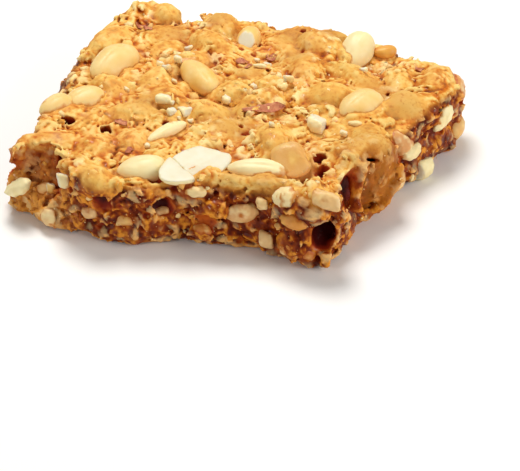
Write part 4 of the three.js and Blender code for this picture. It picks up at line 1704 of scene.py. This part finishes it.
@dataclass(frozen=True)
class ToffeeFinish:
    """Opaque cooked toffee: satin tan where it was pressed, browner and glossy where it broke, and darkened
    there further with painted shade.
    """

    TOP_AT = (0.1, 0.42, 0.66, 0.95)
    TORN_AT = (0.08, 0.42, 0.7, 0.95)
    HOLE_AT = (0.05, 0.4, 0.9)
    # the darker pit end is partly the toffee's own deeper brown and partly painted shade in the creases
    top: tuple[str, str, str, str] = ("EECA78", "DEA046", "C4660F", "7A2A05")  # from crest to pit
    film: str = "ECBA60"  # thin over a kernel
    pale: str = "F6E0A0"
    pressed: str = "D09A4C"
    flank: str = "BE741E"  # pressed smooth on a side
    warm: str = "EC9A5A"  # wide patches
    olive: str = "D2A850"
    lip: str = "CC7C20"  # where the top ends and the tear starts
    # the torn sides' own browner colours, made darker than that as painted shade
    torn: tuple[str, str, str, str] = ("E0902C", "94400A", "6E2405", "561804")  # from crest to pit
    # from the torn toffee's own colour at the rim to painted shade deeper in
    hole: tuple[str, str, str] = ("BC5A1C", "86240A", "3E0604")  # from its rim inwards

    def build(self) -> bpy.types.Material:
        """Builds the material."""
        material, s = new_material("cooked_toffee")
        crease_tint_and_shade, broken, film, calm = s.stored("crease_tint_and_shade", "broken", "film", "calm")
        hole, hollow, pale = s.stored("hole", "hollow", "pale")
        cloud, blotch, mottle, drift = s.grain(9.0), s.grain(3.6), s.grain(1.6), s.grain(14.0, 1.0)
        grit = s.grain(0.9, 1.0)
        unbroken = s.total(1.0, (broken, -1.0))
        edge = s.add("ShaderNodeMath", {"operation": "MULTIPLY"}, {0: broken, 1: unbroken}).outputs[0]

        # the poured top, the torn sides and the holes each run from a crest's colour to a pit's; creases go to
        # the darker end, partly the toffee's own deeper brown and partly painted shade
        place = s.total(-0.93, (crease_tint_and_shade, 2.6), (cloud, 0.9), (blotch, 1.1), (mottle, 0.7))
        stops = {"stops": tuple(zip(self.TOP_AT, self.top))}
        top = s.add("ShaderNodeValToRGB", stops, {"Fac": place}).outputs[0]
        place = s.total(-1.2, (crease_tint_and_shade, 2.6), (cloud, 1.2), (blotch, 1.5), (mottle, 0.8))
        stops = {"stops": tuple(zip(self.TORN_AT, self.torn))}
        torn = s.add("ShaderNodeValToRGB", stops, {"Fac": place}).outputs[0]
        # pits: darker further in, as painted shade
        place = s.total(-0.55, (hole, 1.3), (blotch, 1.2))
        stops = {"stops": tuple(zip(self.HOLE_AT, self.hole))}
        inside = s.add("ShaderNodeValToRGB", stops, {"Fac": place}).outputs[0]
        both = {0: broken, 6: linear(self.pressed), 7: linear(self.flank)}
        smooth = s.add("ShaderNodeMix", {"data_type": "RGBA"}, both).outputs[2]
        colour = s.lay_over(
            top,
            Layer(s.total(-1.9, (drift, 4.0)), self.warm, 0.2),
            Layer(s.total(2.0, (drift, -4.4)), self.olive, 0.4),
            Layer(film, self.film, 0.5),
            Layer(edge, self.lip, 2.6),
            Layer(broken, torn),
            Layer(pale, self.pale, 0.75),
            Layer(calm, smooth, 0.68),
            # painted shade in the wider hollows
            Layer(s.total(-0.12, (hollow, 3.0)), self.hole[1], 0.7),
            Layer(hole, inside, 9.0),
            Layer(s.total(-2.8, (grit, 5.0)), self.top[2], 0.35, stains=True),
        )
        spots = s.total(-4.48, (mottle, 8.0))
        wet = s.total(0.28, (broken, 0.22), (hole, -2.0), (calm, -0.7))
        shiny = s.add("ShaderNodeMath", {"operation": "MULTIPLY"}, {0: spots, 1: wet}).outputs[0]
        bumps = {
            "Height": s.total(0.0, (grit, 0.6), (mottle, 1.6)),
            "Strength": s.total(0.22, (broken, 0.6), (calm, -0.15)),
            "Distance": 0.4 * METRES,
        }
        relief = s.add("ShaderNodeBump", inputs=bumps).outputs[0]
        s.finish(
            {
                "Base Color": colour,
                "Roughness": s.total(0.58, (broken, -0.15)),
                "Specular IOR Level": 0.1,
                "IOR": 1.5,
                "Coat Weight": shiny,
                "Coat Roughness": 0.12,
                "Normal": relief,
                "Coat Normal": relief,
            }
        )
        return material


@dataclass(frozen=True)
class KernelFinish:
    """Roasted blanched peanut: cream to golden skinless surface, whiter and matt where it is split."""

    raw: str = "F4E6B6"
    roast: str = "EBBA5A"
    inner: str = "E4DEC8"
    smear: str = "D08834"
    amber: str = "D68A34"

    def build(self) -> bpy.types.Material:
        """Builds the material."""
        material, s = new_material("roasted_peanut")
        toast, inner, near, glaze = s.stored("toast", "inner", "near", "glaze")
        toast = s.total(-0.4, (toast, 1.0), (s.grain(5.0), 0.8))
        skin = s.add("ShaderNodeValToRGB", {"stops": ((0.0, self.raw), (1.0, self.roast))}, {"Fac": toast})
        smears = {0: s.total(-0.75, (near, 1.0), (s.grain(1.4), 0.8)), 1: s.total(1.0, (inner, -0.85))}
        patch = s.add("ShaderNodeMath", {"operation": "MULTIPLY"}, smears).outputs[0]
        mottled = {0: glaze, 1: s.total(-0.9, (s.grain(3.0), 3.8))}
        glazed = s.add("ShaderNodeMath", {"operation": "MULTIPLY"}, mottled).outputs[0]
        colour = s.lay_over(
            skin.outputs[0],
            Layer(inner, self.inner),
            Layer(patch, self.smear, 1.6),
            Layer(s.grain(2.2), self.raw, 0.5, stains=True),
            Layer(glazed, self.amber, stains=True),
        )
        relief = {"Height": s.grain(0.8, 3.0, 0.6), "Strength": 0.15, "Distance": 0.15 * METRES}
        s.finish(
            {
                "Base Color": colour,
                "Roughness": 0.42,
                "Subsurface Weight": 0.15,
                "Subsurface Radius": (1.0, 0.8, 0.5),
                "Subsurface Scale": 0.8 * METRES,
                "Specular IOR Level": 0.3,
                "IOR": 1.46,
                "Normal": s.add("ShaderNodeBump", inputs=relief).outputs[0],
            }
        )
        return material


@dataclass(frozen=True)
class SkinFinish:
    """Papery peanut skin: thin, matt and red-brown, paler where it is rubbed."""

    deep: str = "A44A2C"
    rubbed: str = "D49060"

    def build(self) -> bpy.types.Material:
        """Builds the material."""
        material, s = new_material("peanut_skin")
        stops = {"stops": ((0.3, self.deep), (0.75, self.rubbed))}
        colour = s.add("ShaderNodeValToRGB", stops, {"Fac": s.grain(1.3, 3.0, 0.6)}).outputs[0]
        bumps = {"Height": s.grain(0.5), "Strength": 0.4, "Distance": 0.15 * METRES}
        relief = s.add("ShaderNodeBump", inputs=bumps).outputs[0]
        s.finish({"Base Color": colour, "Roughness": 0.6, "IOR": 1.45, "Normal": relief})
        return material


@dataclass(frozen=True)
class CrumbFinish:
    """Crumbs of chopped peanut and cooked sugar: cream to amber, satin."""

    pale: str = "F6E2A6"
    amber: str = "E09C3C"

    def build(self) -> bpy.types.Material:
        """Builds the material."""
        material, s = new_material("nut_and_sugar_crumb")
        stops = {"stops": ((0.15, self.pale), (0.7, self.amber))}
        cooked = s.add("ShaderNodeValToRGB", stops, {"Fac": s.stored("toast")[0]}).outputs[0]
        colour = s.lay_over(cooked, Layer(s.grain(0.9), self.amber, 0.3))
        s.finish({"Base Color": colour, "Roughness": 0.4, "Specular IOR Level": 0.3, "IOR": 1.5})
        return material


@dataclass(frozen=True)
class Lamp:
    """A square soft lamp that looks at the slab."""

    name: str
    at: tuple[float, float, float]  # metres
    size: float  # side in metres
    power: float  # watts

    def build(self) -> None:
        """Hangs the lamp."""
        light = bpy.data.lights.new(self.name, "AREA")
        light.size = self.size
        light.energy = self.power
        holder = bpy.data.objects.new(self.name, light)
        holder.location = self.at
        holder.rotation_euler = (Vector((0, 0, 0.01)) - Vector(self.at)).to_track_quat("-Z", "Y").to_euler()
        bpy.context.scene.collection.objects.link(holder)


@dataclass
class Studio:
    """Pale floor, soft lights and a camera at the photograph's viewing angle."""

    floor: str = "F4F2EE"
    sky: tuple[float, float, float, float] = (1.0, 0.985, 0.96, 1)
    sky_strength: float = 0.23
    lens_mm: float = 110.5
    azimuth: float = 20.0
    elevation: float = 36.71
    camera_at: tuple[float, float, float] = (128.416, -333.584, 242.32)
    lamps: tuple[Lamp, ...] = (
        Lamp("key", (-0.14, 0.2, 0.56), 0.24, 3.35),
        Lamp("front_glint", (-0.3, -0.5, 0.26), 0.07, 0.66),
        Lamp("right_fill", (0.62, -0.05, 0.3), 0.4, 2.6),
    )

    def build(self) -> None:
        """Builds floor, world, lights and camera."""
        scene = bpy.context.scene
        scene.view_settings.view_transform = "Standard"
        bpy.ops.mesh.primitive_plane_add(size=6, location=(0, 0, -0.0002))
        floor = bpy.context.object
        floor.name = "floor"
        material, s = new_material("pale_floor")
        s.finish({"Base Color": linear(self.floor), "Roughness": 0.8})
        floor.data.materials.append(material)
        world = bpy.data.worlds.new("studio")
        world.use_nodes = True
        world.node_tree.nodes["Background"].inputs["Color"].default_value = self.sky
        world.node_tree.nodes["Background"].inputs["Strength"].default_value = self.sky_strength
        scene.world = world
        for lamp in self.lamps:
            lamp.build()
        camera = bpy.data.cameras.new("camera")
        camera.lens = self.lens_mm
        camera.sensor_width = 36
        camera.clip_start = 0.01
        holder = bpy.data.objects.new("camera", camera)
        holder.location = Vector(to_frame(np.array(self.camera_at)))
        holder.rotation_euler = (math.radians(90 - self.elevation), 0, math.radians(self.azimuth))
        scene.collection.objects.link(holder)
        scene.camera = holder


def main() -> None:
    """Builds the piece of brittle and its studio."""
    logging.basicConfig(level=logging.INFO)
    Studio().build()
    edge = Edge()
    spread = KernelSpread(edge)
    on_top, on_sides = spread.on_top(), spread.on_sides()
    LOG.info("kernels: %d shown, %d on top, %d on the sides", len(SHOWN_KERNELS), len(on_top), len(on_sides))
    on_top, on_sides = ([kernel for kernel in group if not in_a_tear(kernel)] for group in (on_top, on_sides))
    numbers = itertools.count()
    kernels = ((*SHOWN_KERNELS, *SMALL_BITS), on_top, on_sides)
    groups = [[KernelForm(kernel, next(numbers)) for kernel in group] for group in kernels]
    toffee = Toffee(edge, [form for group in groups for form in group])
    toffee.build_distance()
    for form in groups[0][len(SHOWN_KERNELS):]:
        if form.kernel.z is None:
            toffee.seat(form)
    slab = toffee.build(ToffeeFinish().build())
    crumb = CrumbFinish().build()
    scatters = (
        Crumbs("nut_crumbs", slab, "crumbs", 75000, 1.0, 3.2, 0.25, 11),
        # pale sugar crumbs that also stand in for glints on the torn sides
        Crumbs("sugar_specks_as_glints", slab, "speck_and_glint_density", 220000, 0.25, 0.6, 0.05, 23, fine=True),
    )
    for scatter in scatters:
        place_piece(scatter.build(crumb))
    place_piece(slab, replaces=True)
    place_piece(SkinFlakes(toffee).build(SkinFinish().build()))
    finish = KernelFinish().build()
    batches = (("shown_peanuts", 0.45), ("sunk_peanuts", 0.5), ("side_peanuts", 0.55))
    for (name, step), group in zip(batches, groups):
        place_piece(KernelBatch(name, group, toffee, step).build(finish), replaces=True)


if __name__ == "__main__":
    main()
